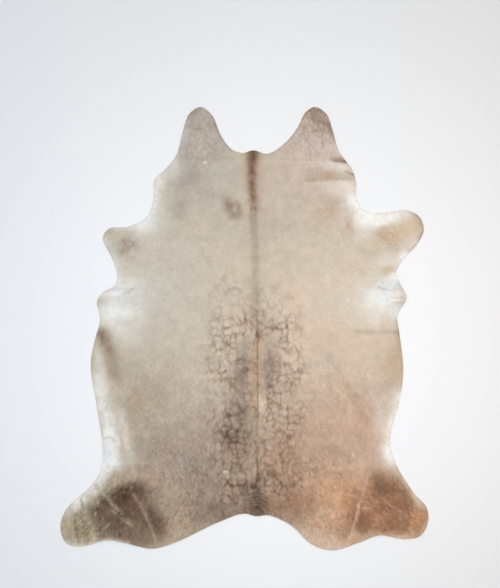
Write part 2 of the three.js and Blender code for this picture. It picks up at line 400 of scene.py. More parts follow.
# The patches in the order in which they are laid, each a colour and an oval.
PATCH_ROWS: tuple[tuple, ...] = (
    # Partly the hide's own colour, partly a painted cool cast of daylight over the left half.
    (Tint.DRIFT, "cool left side", 0.85, (-460, 140), (510, 1070)),
    (Tint.ASH, "left neck lobe", 0.9, (-215, 920), (150, 230), 0, Edge.FIRM),
    (Tint.CHALK, "left neck pale", 0.4, (-300, 970), (25, 110), -10),
    (Tint.HAZEL, "left neck crown", 0.35, (-235, 1020), (60, 35), 10),
    (Tint.FLINT, "left neck shade", 0.75, (-280, 742), (98, 78), -15),
    (Tint.FLINT, "left of stripe", 0.4, (-120, 690), (95, 150)),
    (Tint.MIST, "left stripe mist", 0.5, (-105, 745), (75, 110)),
    (Tint.FLINT, "left cheek shade", 0.35, (-320, 600), (50, 55)),
    (Tint.CHALK, "left throat", 0.58, (-365, 805), (52, 65), 25),
    # Partly the hide's own colour, partly a painted warm cast of light over the right half.
    (Tint.OATMEAL, "warm right side", 0.7, (490, 40), (490, 830)),
    (Tint.FAWN, "right neck lobe", 0.8, (300, 880), (190, 240)),
    (Tint.BLUSH, "right neck pale", 0.7, (365, 890), (85, 85)),
    (Tint.HAZEL, "right neck tip", 0.6, (360, 1025), (70, 80)),
    (Tint.SMOKE, "right neck spot", 0.2, (395, 985), (30, 30)),
    (Tint.SMOKE, "right neck dot", 0.5, (368, 1050), (10, 9)),
    (Tint.SMOKE, "right neck smudge", 0.35, (356, 1012), (24, 22)),
    (Tint.SMOKE, "right neck cap", 0.35, (350, 1055), (40, 20)),
    (Tint.HAZEL, "right neck side", 0.6, (415, 985), (30, 75), 15),
    (Tint.ALMOND, "right ribs", 0.4, (490, 160), (290, 200)),
    (Tint.TAUPE, "left rump", 0.9, (-275, -690), (390, 300)),
    (Tint.DUST, "left flank", 0.7, (-505, -360), (205, 205)),
    (Tint.TAUPE, "left loin edge", 0.5, (-380, -590), (75, 60)),
    (Tint.SLATE, "left rump slate", 0.45, (-265, -660), (130, 90), -10),
    (Tint.CLAY, "right rump", 0.85, (330, -650), (350, 285)),
    (Tint.ROSEWOOD, "right flank", 0.8, (515, -495), (255, 225)),
    (Tint.CREAM, "right flank side", 0.35, (665, -450), (45, 95)),
    (Tint.TAN, "right thigh", 0.95, (445, -855), (195, 170)),
    (Tint.FOX, "right shank", 0.95, (690, -880), (240, 140), -25, Edge.FIRM),
    (Tint.DUN, "left buttock", 0.8, (-330, -930), (170, 125), 25),
    (Tint.OLIVE, "left shank", 0.9, (-660, -900), (220, 150), 25, Edge.FIRM),
    (Tint.BISQUE, "right buttock", 0.8, (400, -1040), (135, 65)),
    (Tint.CREAM, "right buttock rim", 0.3, (435, -1080), (80, 20)),
    (Tint.TAN, "right hock", 0.5, (560, -1035), (70, 35)),
    (Tint.BISQUE, "right hock rim", 0.5, (745, -1015), (50, 18)),
    (Tint.CHALK, "left girth", 0.35, (-600, -30), (70, 50)),
    (Tint.CHALK, "left elbow", 0.95, (-625, 95), (120, 110)),
    # Partly the hair's own colour, partly painted edge shade along the left elbow's rim.
    (Tint.ASH, "left elbow rim", 0.35, (-705, 140), (30, 26)),
    (Tint.CHALK, "left shoulder cool", 0.2, (-480, 230), (150, 110)),
    (Tint.CHALK, "left armpit", 0.9, (-575, 208), (70, 26)),
    # Painted shade: the bluish shadow in the left armpit fold.
    (Tint.SKIN, "left armpit fold shade", 0.95, (-610, 178), (38, 22), 10, Edge.FIRM),
    (Tint.CHALK, "left shoulder pit", 0.65, (-475, 520), (95, 70), 35),
    (Tint.TAUPE, "left shoulder smudge", 0.3, (-328, 590), (38, 68), -35),
    (Tint.ROSEWOOD, "net rose", 0.22, (30, -140), (190, 210)),
    (Tint.HAZEL, "right loin rose", 0.25, (400, -640), (110, 140)),
    (Tint.CHALK, "right elbow", 0.95, (690, 140), (135, 105)),
    # Partly the hair's own colour, partly painted edge shade along the right elbow's rim.
    (Tint.STRAW, "right elbow rim", 0.4, (787, 152), (11, 36)),
    (Tint.SHELL, "right cheek", 0.85, (478, 682), (92, 55)),
    # Painted shade on the slope above the cheek ruffle's crease, partly tan hair there.
    (Tint.SPICE, "cheek tuck", 0.55, (382, 742), (76, 27), 8),
    (Tint.TAN, "cheek tan", 0.35, (410, 745), (45, 22), 8),
    (Tint.PEARL, "right throat", 0.9, (490, 790), (50, 28)),
    (Tint.PEARL, "right throat rim", 0.5, (455, 870), (28, 40)),
    (Tint.SHELL, "right jaw", 0.7, (450, 785), (75, 26), -10),
    (Tint.HAZEL, "withers shade", 0.25, (150, 500), (150, 90)),
    (Tint.SPICE, "right girth shade", 0.3, (400, -40), (90, 70)),
    (Tint.SPICE, "right shoulder spot", 0.6, (420, 575), (50, 55)),
    (Tint.CLAY, "right shoulder streak", 0.8, (510, 508), (16, 42)),
    (Tint.CREAM, "right shoulder pale", 0.4, (580, 480), (60, 50)),
    (Tint.PEARL, "right shoulder front", 0.4, (500, 565), (50, 40)),
    (Tint.CREAM, "right shoulder pit", 0.85, (640, 537), (115, 52), 0, Edge.FIRM),
    (Tint.HONEY, "right foreleg", 0.75, (760, 460), (95, 50), 25, Edge.FIRM),
    (Tint.HONEY, "right foreleg tip", 0.8, (830, 515), (45, 55), 0, Edge.FIRM),
    (Tint.TAN, "right foreleg cap", 0.35, (835, 525), (32, 40)),
    (Tint.SPICE, "right foreleg core", 0.85, (692, 440), (58, 34), 20),
    (Tint.PEARL, "right foreleg under", 0.6, (815, 405), (55, 40), 30),
    (Tint.CREAM, "right foreleg back", 0.9, (768, 330), (30, 45), -40),
    (Tint.CREAM, "right armpit", 0.8, (735, 240), (38, 28)),
    (Tint.OCHRE, "right armpit rust", 0.65, (702, 283), (26, 19)),
    # Painted shade: the bluish shadow in the right armpit fold.
    (Tint.SKIN, "right armpit fold", 0.8, (718, 203), (52, 22), -6, Edge.FIRM),
    (Tint.CREAM, "right foreleg root", 0.4, (690, 330), (50, 35)),
    (Tint.CHALK, "left foreleg top", 0.7, (-585, 490), (75, 22)),
    (Tint.CHALK, "left foreleg back", 0.7, (-630, 310), (35, 75), 15),
    (Tint.OLIVE, "left foreleg", 0.5, (-575, 405), (46, 30), -15),
    (Tint.OLIVE, "left foreleg foot", 0.3, (-598, 370), (25, 26)),
    (Tint.STRAW, "left foreleg tip", 0.7, (-660, 460), (40, 30)),
    (Tint.CHALK, "left foreleg rim", 0.6, (-685, 415), (20, 30)),
    (Tint.SPICE, "right belly edge", 0.9, (740, -180), (60, 125)),
    (Tint.STRAW, "left foot", 0.85, (-810, -975), (95, 85), 0, Edge.FIRM),
    (Tint.LOAM, "left foot shade", 0.3, (-765, -975), (35, 65)),
    (Tint.DUN, "left hock", 0.5, (-660, -1030), (50, 25)),
    (Tint.LOAM, "left umber body", 0.9, (-570, -945), (170, 105), 0, Edge.FIRM),
    (Tint.LOAM, "left umber heel", 0.6, (-490, -1045), (75, 40)),
    (Tint.LOAM, "left umber front", 0.6, (-700, -890), (62, 50)),
    (Tint.SPICE, "left shank front", 0.5, (-620, -725), (45, 40)),
    (Tint.SPICE, "left thigh warm", 0.55, (-462, -735), (62, 48)),
    (Tint.UMBER, "left umber crown", 0.92, (-590, -810), (102, 55), 22, Edge.FIRM),
    (Tint.UMBER, "left umber side", 0.5, (-428, -955), (50, 78), 20, Edge.FIRM),
    (Tint.OLIVE, "left sole", 0.4, (-818, -970), (72, 52)),
    (Tint.UMBER, "left umber link", 0.65, (-520, -855), (75, 60)),
    (Tint.MINK, "right russet body", 0.6, (665, -880), (120, 105)),
    (Tint.MINK, "right crown edge", 0.45, (765, -765), (55, 45), -35, Edge.FIRM),
    (Tint.RUSSET, "right russet crown", 0.55, (668, -754), (80, 60), 0, Edge.FIRM),
    (Tint.BARK, "right russet core", 0.5, (650, -762), (36, 50)),
    (Tint.RUSSET, "right russet band", 0.75, (750, -820), (95, 55), -42, Edge.FIRM),
    (Tint.RUSSET, "right russet foot", 0.6, (748, -947), (62, 50), 0, Edge.FIRM),
    (Tint.RUSSET, "right russet heel", 0.85, (577, -950), (48, 58), 20, Edge.FIRM),
    (Tint.RUSSET, "right russet shin", 0.35, (778, -905), (48, 34), -30),
    (Tint.FOX, "right ham fox", 0.35, (435, -968), (115, 42)),
    (Tint.TAN, "right knee tan", 0.4, (505, -790), (42, 42)),
    (Tint.FOX, "right foot", 0.7, (850, -945), (60, 70), 0, Edge.FIRM),
    (Tint.PEARL, "right shank rim", 0.6, (845, -834), (46, 15), -48),
    (Tint.CREAM, "right stifle rim", 0.9, (712, -612), (45, 40)),
    (Tint.BISQUE, "right thigh pale", 0.35, (575, -725), (60, 50)),
    (Tint.BARK, "tail root", 0.8, (65, -875), (85, 60)),
    (Tint.SMOKE, "left tail smoke", 0.75, (-130, -900), (140, 72), -12),
    (Tint.MINK, "right tail smoke", 0.65, (235, -865), (115, 80), 15),
    (Tint.MINK, "right rump smoke", 0.25, (185, -710), (60, 120)),
    (Tint.SMOKE, "left rump smoke", 0.3, (-10, -785), (60, 50)),
    (Tint.SMOKE, "left loin smoke", 0.3, (-30, -480), (80, 190)),
    (Tint.SMOKE, "left loin blot", 0.45, (-20, -415), (50, 62)),
    (Tint.SMOKE, "left croup blot", 0.35, (-62, -530), (72, 48), -10),
    (Tint.SMOKE, "left loin cap", 0.6, (-5, -215), (48, 115)),
    (Tint.SMOKE, "right loin smoke", 0.65, (122, -210), (42, 115)),
    (Tint.SMOKE, "right net crown", 0.15, (115, 45), (50, 40)),
    (Tint.SPICE, "tan strip", 0.75, (64, -240), (38, 250), 0, Edge.FIRM),
    (Tint.OATMEAL, "pale strip", 0.8, (94, -370), (28, 72)),
    (Tint.SPICE, "stripe shade", 0.5, (45, 800), (55, 80)),
    (Tint.BARK, "birthmark", 0.3, (-60, 586), (46, 60), 30, Edge.FIRM),
    (Tint.BARK, "birthmark top", 0.45, (-88, 612), (20, 32), 20),
    (Tint.BARK, "birthmark foot", 0.25, (-45, 556), (34, 16), 20),
    (Tint.BARK, "birthmark side", 0.3, (-32, 590), (12, 30), 20),
    (Tint.SAND, "birthmark eye", 0.5, (-56, 583), (20, 18), -20),
)
PATCHES = tuple(Patch(tint, Oval(*oval)) for tint, *oval in PATCH_ROWS)

# The streaks in the order in which they are laid, over the patches.
STREAK_ROWS: tuple[tuple, ...] = (
    (Tint.DUST, "dorsal halo", 0.4, 0.3, 40, 40, ((36, 850), (40, 550), (50, 330), (60, 0))),
    (Tint.CLAY, "dorsal stripe", 0.8, 0.6, 32, 22, ((37, 845), (37, 700), (43, 560))),
    (Tint.BARK, "stripe head", 0.8, 0.7, 26, 30, ((40, 862), (37, 825))),
    (Tint.UMBER, "stripe crown", 0.7, 0.5, 17, 15, ((42, 860), (38, 815))),
    (Tint.BARK, "stripe neck", 0.75, 0.7, 19, 19, ((37, 782), (38, 740))),
    (Tint.BARK, "stripe middle", 0.65, 0.6, 20, 17, ((37, 708), (40, 645))),
    (Tint.BARK, "stripe foot", 0.55, 0.45, 16, 14, ((42, 640), (42, 590))),
    (Tint.SMOKE, "stripe end", 0.45, 0.2, 11, 9, ((42, 590), (44, 470))),
    (Tint.TAUPE, "stripe tail", 0.85, 0.55, 18, 18, ((42, 600), (44, 470)), Edge.FIRM),
    (Tint.BARK, "left stripe thread", 0.7, 0.3, 5, 5, ((33, 585), (33, 535))),
    (Tint.BARK, "right stripe thread", 0.7, 0.4, 5, 5, ((51, 590), (52, 545))),
    (Tint.DUST, "lower dorsal stripe", 0.9, 0.6, 20, 18, ((41, 560), (46, 400), (58, 150)), Edge.FIRM),
    (Tint.DUN, "dorsal trail", 0.5, 0.6, 28, 28, ((55, 180), (52, 30), (52, -130))),
    # Painted shade on the slopes above the creases of the cheek, the throat tuck and the throat line, partly
    # darker hair.
    (Tint.OLIVE, "cheek edge", 0.45, 0.15, 14, 2.5, ((300, 715), (400, 718), (470, 724), (540, 726))),
    (Tint.BARK, "throat tuck", 0.4, 0.8, 17, 2.5, ((430, 813), (465, 811), (490, 807))),
    (Tint.DUST, "throat fold", 0.4, 0.4, 6, 3, ((180, 823), (330, 820))),
    (Tint.PEARL, "throat crease", 0.15, 0.35, 5, 5, ((-30, 816), (90, 814), (330, 810))),
    # Painted shade along folds and wrinkles of the neck: the fold and the lines below.
    (Tint.TAUPE, "neck fold", 0.25, 0.3, 5, 5, ((-320, 836), (-60, 830))),
    (Tint.TAUPE, "left lobe fold", 0.3, 0.15, 5, 5, ((-272, 974), (-145, 968))),
    (Tint.TAUPE, "left neck line", 0.4, 0.3, 5, 5, ((-285, 982), (-215, 978), (-145, 984))),
    (Tint.TAUPE, "right neck line", 0.6, 0.4, 6, 6,
     ((412, 977), (363, 969), (330, 962), (311, 943), (288, 950))),
    (Tint.TAUPE, "right neck curl", 0.5, 0.5, 7, 7, ((322, 1050), (342, 1010), (395, 1000), (420, 970))),
    # Painted shade along two small pleats of the neck.
    (Tint.TAUPE, "neck pleat", 0.3, 0.2, 5, 5, ((316, 900), (318, 825))),
    (Tint.TAUPE, "right neck pleat", 0.4, 0.3, 6, 6, ((378, 945), (382, 880))),
    (Tint.CREAM, "neck scar", 0.8, 0.8, 5, 5, ((-196, 812), (-188, 812))),
    # Painted edge shade along the tops of the neck lobes and the right foreleg tip, partly darker hair at the
    # edge.
    (Tint.SMOKE, "left neck rim", 0.3, 0.25, 6, 6,
     ((-273, 1036), (-215, 1076), (-160, 1037), (-121, 945), (-70, 874))),
    (Tint.SMOKE, "right neck rim", 0.2, 0.35, 6, 6,
     ((195, 899), (260, 975), (299, 1050), (344, 1076), (398, 1041))),
    (Tint.SMOKE, "right neck edge", 0.35, 0.15, 6, 6, ((398, 1041), (428, 962), (452, 880))),
    (Tint.TAUPE, "foreleg rim", 0.3, 0.6, 8, 8, ((800, 575), (851, 545), (874, 479), (855, 430))),
    # Painted shade along a fold of the left cheek.
    (Tint.DUST, "left cheek fold", 0.4, 0.3, 5, 5, ((-420, 703), (-250, 706))),
    # Painted shade along the right girth fold, partly darker hair there.
    (Tint.SPICE, "girth fold", 0.5, 0.1, 13, 9, ((555, -18), (610, -24), (700, -30))),
    (Tint.SPICE, "right girth rim", 0.4, 0.6, 14, 14, ((742, 25), (750, -70), (768, -190))),
    (Tint.TAUPE, "girth edge", 0.6, 0.5, 5, 5, ((742, 42), (748, 0), (758, -68))),
    # Painted shade in the trough of the right armpit fold.
    (Tint.FLINT, "armpit line", 0.6, 0.1, 4, 4, ((651, 204), (670, 191), (722, 182))),
    (Tint.CREAM, "armpit ring", 0.6, 0.6, 11, 11, ((660, 222), (672, 219))),
    (Tint.TAUPE, "armpit dot", 0.6, 0.6, 4, 4, ((665, 220), (670, 219))),
    # Painted shade along two wrinkles of the right elbow.
    (Tint.DUST, "elbow line", 0.3, 0.4, 3, 3, ((697, 148), (772, 150))),
    (Tint.DUST, "lower elbow line", 0.3, 0.4, 3, 3, ((715, 125), (772, 126))),
    # Painted shade in the left armpit fold.
    (Tint.FLINT, "left armpit line", 0.25, 0.5, 6, 6, ((-590, 168), (-560, 180), (-543, 190))),
    # Painted shade: a dark line in a small fold of the cheek.
    (Tint.LOAM, "cheek nick", 0.5, 0.8, 4, 3, ((492, 763), (536, 748))),
    (Tint.BARK, "spine line", 0.3, 0.5, 5, 5, ((62, 70), (65, -300), (64, -430))),
    (Tint.SMOKE, "loin line", 0.5, 0.25, 6, 6, ((64, -430), (60, -500))),
    (Tint.SMOKE, "croup line", 0.4, 0.5, 8, 8, ((58, -545), (62, -655))),
    (Tint.OLIVE, "net arch", 0.3, 0.4, 5, 5, ((-100, 165), (-75, 190), (-40, 200), (-18, 178))),
    (Tint.BARK, "tail line", 0.5, 0.6, 5, 5, ((63, -640), (64, -725))),
    (Tint.BARK, "tail blot", 0.7, 0.5, 12, 12, ((62, -738), (90, -728))),
    (Tint.BARK, "tail dark", 0.6, 0.9, 12, 14, ((64, -760), (66, -910))),
    (Tint.SMOKE, "tail herringbone", 0.4, 0.85, 30, 36, ((62, -770), (66, -905))),
    (Tint.CHALK, "left cheek", 0.75, 0.8, 40, 40, ((-420, 735), (-440, 625), (-500, 520))),
    (Tint.BARK, "left belly", 0.55, 0.25, 38, 38, ((-688, -35), (-668, -80), (-648, -145), (-632, -215))),
    (Tint.LOAM, "left belly tip", 0.4, 0.3, 15, 15, ((-702, -15), (-690, -62))),
    (Tint.CHALK, "left belly rim", 0.3, 0.4, 26, 26, ((-712, -110), (-705, -260), (-690, -330))),
    (Tint.CHALK, "left flank", 0.6, 1.0, 48, 48, ((-720, -260), (-690, -375), (-655, -500), (-645, -650))),
    (Tint.CLAY, "left flank tan", 0.4, 0.5, 20, 20, ((-520, -330), (-548, -405))),
    (Tint.CHALK, "left shank", 1.0, 0.9, 46, 46, ((-670, -620), (-700, -715), (-758, -785), (-810, -835))),
    (Tint.CHALK, "left stifle", 0.4, 0.5, 28, 28, ((-600, -420), (-580, -540), (-560, -640))),
    (Tint.OLIVE, "left shank gold", 0.35, 0.45, 16, 16, ((-630, -705), (-672, -780))),
    (Tint.SKIN, "left bare flank", 0.95, 0.9, 26, 26, ((-664, -555), (-668, -640)), Edge.FIRM),
    (Tint.CHALK, "left foot rim", 0.6, 0.35, 28, 28, ((-815, -840), (-875, -900))),
    (Tint.CREAM, "right pit", 0.9, 0.7, 40, 40, ((525, 625), (585, 555), (685, 550), (780, 565))),
    (Tint.CREAM, "right flank", 0.7, 0.8, 35, 35, ((760, -325), (715, -485), (708, -560), (728, -640))),
    (Tint.SPICE, "right diagonal", 0.5, 0.8, 20, 20, ((410, -135), (485, -250), (525, -340), (555, -425))),
    (Tint.DUST, "left flank brush", 0.6, 0.6, 25, 25, ((-555, -410), (-505, -320), (-475, -250))),
    (Tint.MINK, "right shank stripe", 0.12, 0.45, 30, 34, ((555, -760), (525, -880), (492, -1000))),
    (Tint.PEARL, "right shank edge", 0.35, 0.45, 10, 10, ((768, -728), (804, -783), (846, -828))),
    (Tint.BISQUE, "right heel rim", 0.5, 0.5, 11, 11, ((575, -1052), (625, -1022), (662, -1008))),
    (Tint.DUN, "left thigh parting", 0.55, 0.85, 9, 9,
     ((-542, -808), (-492, -884), (-446, -992), (-423, -1062))),
    (Tint.STRAW, "left hock rim", 0.35, 0.35, 12, 12, ((-480, -1063), (-430, -1064), (-350, -1032))),
    (Tint.STRAW, "left shank parting", 0.8, 0.2, 8, 8,
     ((-725, -765), (-670, -825), (-585, -915), (-540, -955))),
    (Tint.STRAW, "left foot parting", 0.75, 0.95, 10, 16, ((-780, -866), (-748, -955), (-726, -1040))),
    # Painted shade beside the creases of the left foot.
    (Tint.LOAM, "left foot fold", 0.6, 0.3, 5, 5, ((-797, -832), (-783, -885))),
    (Tint.LOAM, "left foot line", 0.4, 0.5, 5, 5, ((-824, -905), (-826, -975), (-814, -1037))),
    (Tint.STRAW, "left instep parting", 0.5, 0.5, 6, 6, ((-727, -900), (-736, -965))),
    (Tint.STRAW, "left shank fork", 0.6, 0.5, 6, 6, ((-644, -886), (-600, -925), (-546, -964))),
    (Tint.STRAW, "left shank curl", 0.5, 0.3, 5, 5, ((-655, -850), (-625, -880), (-590, -885))),
    (Tint.STRAW, "left heel parting", 0.6, 0.5, 7, 7, ((-709, -1001), (-660, -952))),
    (Tint.CHALK, "left pouch rim", 0.7, 0.6, 9, 9,
     ((-681, -524), (-653, -510), (-619, -534), (-609, -562))),
    (Tint.FLINT, "left pouch shade", 0.3, 0.3, 5, 5, ((-682, -540), (-655, -527), (-628, -552))),
    (Tint.STRAW, "left stifle parting", 0.5, 0.5, 9, 9, ((-605, -535), (-556, -671), (-530, -730))),
    (Tint.RUSSET, "right parting shade", 0.3, 0.7, 10, 10, ((550, -880), (522, -985))),
    (Tint.BISQUE, "right thigh parting", 0.5, 0.8, 8, 5,
     ((605, -705), (561, -842), (541, -925), (512, -1022))),
    (Tint.BISQUE, "right thigh wrinkle", 0.4, 0.5, 12, 12, ((400, -685), (480, -682), (560, -668))),
    (Tint.BISQUE, "right shank curl", 0.35, 0.45, 6, 6, ((683, -842), (726, -871), (766, -888))),
    (Tint.BISQUE, "right heel curl", 0.45, 0.35, 6, 6, ((580, -879), (602, -881), (639, -863))),
    (Tint.BISQUE, "right foot rim", 0.6, 0.6, 12, 12,
     ((658, -1010), (785, -1027), (855, -1008), (890, -945))),
    (Tint.CHALK, "left foot edge", 0.5, 0.6, 12, 12,
     ((-860, -1045), (-800, -1062), (-668, -1033), (-570, -1050))),
    (Tint.SMOKE, "loin star", 0.7, 0.5, 18, 18, ((-80, -515), (-68, -535))),
    (Tint.SMOKE, "star west arm", 0.7, 0.2, 6, 6, ((-80, -515), (-110, -498), (-140, -505))),
    (Tint.SMOKE, "star south arm", 0.7, 0.2, 6, 6, ((-72, -530), (-75, -565), (-95, -595))),
    (Tint.SMOKE, "star south west arm", 0.6, 0.2, 6, 6, ((-80, -520), (-118, -548))),
    (Tint.SMOKE, "star east arm", 0.7, 0.3, 7, 7, ((-68, -520), (-40, -505), (-15, -470))),
    (Tint.SMOKE, "star north arm", 0.6, 0.2, 6, 6, ((-82, -510), (-90, -465), (-80, -430))),
    (Tint.CREAM, "rump scar", 1.0, 1.0, 5, 5, ((-101, -699), (-83, -699))),
    (Tint.PEARL, "thigh scar", 0.65, 0.4, 4, 4, ((524, -606), (538, -635))),
    (Tint.CHALK, "shoulder fleck", 0.6, 0.6, 6, 6, ((498, 137), (506, 139))),
    (Tint.CLAY, "right flank tan", 0.6, 0.3, 20, 18, ((540, -325), (558, -400), (590, -470))),
)
STREAKS = tuple(Streak(*row) for row in STREAK_ROWS)

VEINED = (
    Oval("left veins", 0.75, (-55, -320), (140, 490), 4, Edge.FIRM),
    Oval("right veins", 0.9, (150, -310), (140, 490), -3, Edge.FIRM),
    Oval("tail veins", 0.85, (45, -770), (290, 200), 0, Edge.FIRM),
    Oval("spine veins", 0.8, (55, 20), (130, 150), 0, Edge.FIRM),
)

UNVEINED = (Oval("spine strip", 0.8, (80, -290), (28, 210), 0, Edge.FIRM),)

RIPPLED = (
    Oval("tail bars", 1.0, (58, -838), (50, 75), 0, Edge.FIRM),
    Oval("spine bars", 0.4, (58, -235), (42, 120), 0, Edge.FIRM),
)

SHAGGY = (
    Oval("left hind leg", 1.0, (-650, -900), (290, 170), 30, Edge.FIRM),
    Oval("right hind leg", 0.7, (690, -880), (260, 160), -30, Edge.FIRM),
    Oval("left buttock", 0.7, (-330, -920), (220, 180)),
    Oval("right thigh", 0.7, (420, -900), (230, 220)),
    Oval("rump", 0.65, (0, -760), (650, 330), 0, Edge.FIRM),
    Oval("loin", 0.4, (0, -400), (850, 350), 0, Edge.FIRM),
    Oval("left foreleg", 0.7, (-577, 395), (65, 60)),
    Oval("right foreleg", 0.5, (705, 445), (75, 50), 20),
    Oval("left neck", 0.6, (-215, 950), (130, 180)),
    Oval("right neck", 0.85, (340, 970), (130, 180)),
)


@dataclass(frozen=True)
class Sweep:
    """A part of the hide where the hair is combed its own way: heading from +X, and how far that holds."""

    name: str
    at: Place
    heading: float
    reach: float
    pull: float


SWEEPS = (
    Sweep("left foreleg", (-640, 430), 205, 150, 2.0),
    Sweep("right foreleg", (780, 470), -20, 170, 2.0),
    Sweep("left elbow", (-660, 140), 190, 110, 1.5),
    Sweep("right elbow", (730, 140), -10, 110, 1.5),
    Sweep("left hind leg", (-730, -930), 222, 210, 2.0),
    Sweep("right hind leg", (740, -900), -42, 210, 2.0),
    Sweep("left neck", (-230, 980), -110, 150, 1.0),
    Sweep("right neck", (350, 980), -70, 150, 1.0),
)


@dataclass
class HideOutline:
    """The trimmed edge: a smooth closed curve through the landmarks, and how deep inside it a place lies."""

    landmarks: tuple[Place, ...] = RIGHT_EDGE + LEFT_EDGE
    steps: int = 24
    field_pitch: float = 6.0
    field_margin: float = 60.0
    batch: int = 64
    last_cell: float = 1.001
    curve: Array = field(init=False)
    depths: Array = field(init=False)
    corner: Array = field(init=False)

    def __post_init__(self) -> None:
        """Work out the curve and the grid of depths once."""
        self.curve = self.smooth_curve()
        self.corner, self.depths = self.depth_grid()

    def smooth_curve(self) -> Array:
        """Centripetal Catmull-Rom spline: each span blends its four landmarks by root-distance knots.

        Returns:
            Points of the closed curve, clockwise from the neck stub.
        """
        points = np.array(self.landmarks, float)
        before, start, end, after = (np.roll(points, shift, axis=0)[:, None] for shift in (1, 0, -1, -2))
        first = np.sqrt(np.linalg.norm(start - before, axis=2, keepdims=True))
        second = first + np.sqrt(np.linalg.norm(end - start, axis=2, keepdims=True))
        third = second + np.sqrt(np.linalg.norm(after - end, axis=2, keepdims=True))
        knot = first + (second - first) * np.linspace(0.0, 1.0, self.steps, endpoint=False)[None, :, None]

        def blend(a: Array, b: Array, low: Array, high: Array) -> Array:
            """Go straight from a to b as the knot goes from low to high."""
            return ((high - knot) * a + (knot - low) * b) / (high - low)

        none = np.zeros_like(first)
        one = blend(before, start, none, first)
        two = blend(start, end, first, second)
        three = blend(end, after, second, third)
        early, late = blend(one, two, none, second), blend(two, three, first, third)
        return blend(early, late, first, second).reshape(-1, 2)

    def ring(self, pitch: float) -> tuple[Array, Array]:
        """Space points evenly along the curve.

        Args:
            pitch: Distance from point to point.

        Returns:
            The points, and the outward direction at each.
        """
        closed = np.vstack([self.curve, self.curve[:1]])
        gone = np.concatenate([[0.0], np.cumsum(np.hypot(*np.diff(closed, axis=0).T))])
        stops = np.linspace(0.0, gone[-1], round(gone[-1] / pitch), endpoint=False)
        points = np.stack([np.interp(stops, gone, closed[:, axis]) for axis in (0, 1)], axis=1)
        ahead = np.roll(points, -1, axis=0) - np.roll(points, 1, axis=0)
        ahead /= np.linalg.norm(ahead, axis=1, keepdims=True)
        return points, np.stack([-ahead[:, 1], ahead[:, 0]], axis=1)

    def depth_grid(self) -> tuple[Array, Array]:
        """Distance to the nearest point of the edge on a square grid, counted negative outside it.

        Inside is found row by row: each crossing of the edge flips every grid point to its right.

        Returns:
            The grid's lowest corner, and the depths with a column for each step across.
        """
        edge, _ = self.ring(self.field_pitch / 2.0)
        low = edge.min(axis=0) - self.field_margin
        count = np.ceil((edge.max(axis=0) + self.field_margin - low) / self.field_pitch).astype(int) + 1
        across = low[0] + self.field_pitch * np.arange(count[0])
        along = low[1] + self.field_pitch * np.arange(count[1])
        nearest = np.full((count[0], count[1]), np.inf, np.float32)
        for part in np.array_split(edge.astype(np.float32), len(edge) // self.batch):
            gap_x = (across[:, None] - part[None, :, 0]).astype(np.float32) ** 2
            gap_y = (along[:, None] - part[None, :, 1]).astype(np.float32) ** 2
            nearest = np.minimum(nearest, (gap_x[:, None, :] + gap_y[None, :, :]).min(axis=2))
        after = np.roll(edge, -1, axis=0)
        crosses = (edge[None, :, 1] > along[:, None]) != (after[None, :, 1] > along[:, None])
        row, leg = np.nonzero(crosses)
        share = (along[row] - edge[leg, 1]) / (after[leg, 1] - edge[leg, 1])
        place = edge[leg, 0] + share * (after[leg, 0] - edge[leg, 0])
        flips = np.zeros((count[0], count[1]), int)
        np.add.at(flips, (np.ceil((place - low[0]) / self.field_pitch).astype(int), row), 1)
        inside = np.cumsum(flips, axis=0) % 2 == 1
        return low, np.where(inside, 1.0, -1.0) * np.sqrt(nearest)

    def depth(self, x: Array, y: Array) -> Array:
        """How deep inside the edge each place lies, blended from the four grid depths round it."""
        u = np.clip((x - self.corner[0]) / self.field_pitch, 0.0, self.depths.shape[0] - self.last_cell)
        v = np.clip((y - self.corner[1]) / self.field_pitch, 0.0, self.depths.shape[1] - self.last_cell)
        i, j = u.astype(int), v.astype(int)
        s, t = u - i, v - j
        low = self.depths[i, j] * (1.0 - s) + self.depths[i + 1, j] * s
        high = self.depths[i, j + 1] * (1.0 - s) + self.depths[i + 1, j + 1] * s
        return low * (1.0 - t) + high * t

    def lattice(self, pitch: float, margin: float) -> Array:
        """Staggered rows of points all over the hide, at least a margin inside its edge."""
        low, high = self.curve.min(axis=0), self.curve.max(axis=0)
        rise = pitch * math.sqrt(3.0) / 2.0
        rows = np.arange(low[1], high[1], rise)
        columns = np.arange(low[0], high[0], pitch)
        x = columns[None, :] + pitch / 2.0 * (np.arange(len(rows)) % 2)[:, None]
        y = np.broadcast_to(rows[:, None], x.shape)
        keep = self.depth(x, y) > margin
        return np.stack([x[keep], y[keep]], axis=1)


@dataclass(frozen=True)
class Relief:
    """How far the skin stands off the floor: its creases, where neighbours meet in a furrow."""

    creases: tuple[Crease, ...] = CREASES + WRINKLES
    sharpness: float = 3.0

    def lift(self, x: Array, y: Array) -> Array:
        """The smooth maximum of all creases: the root of the sum of their powers."""
        total = sum(crease.lift(x, y) ** self.sharpness for crease in self.creases)
        return total ** (1.0 / self.sharpness)


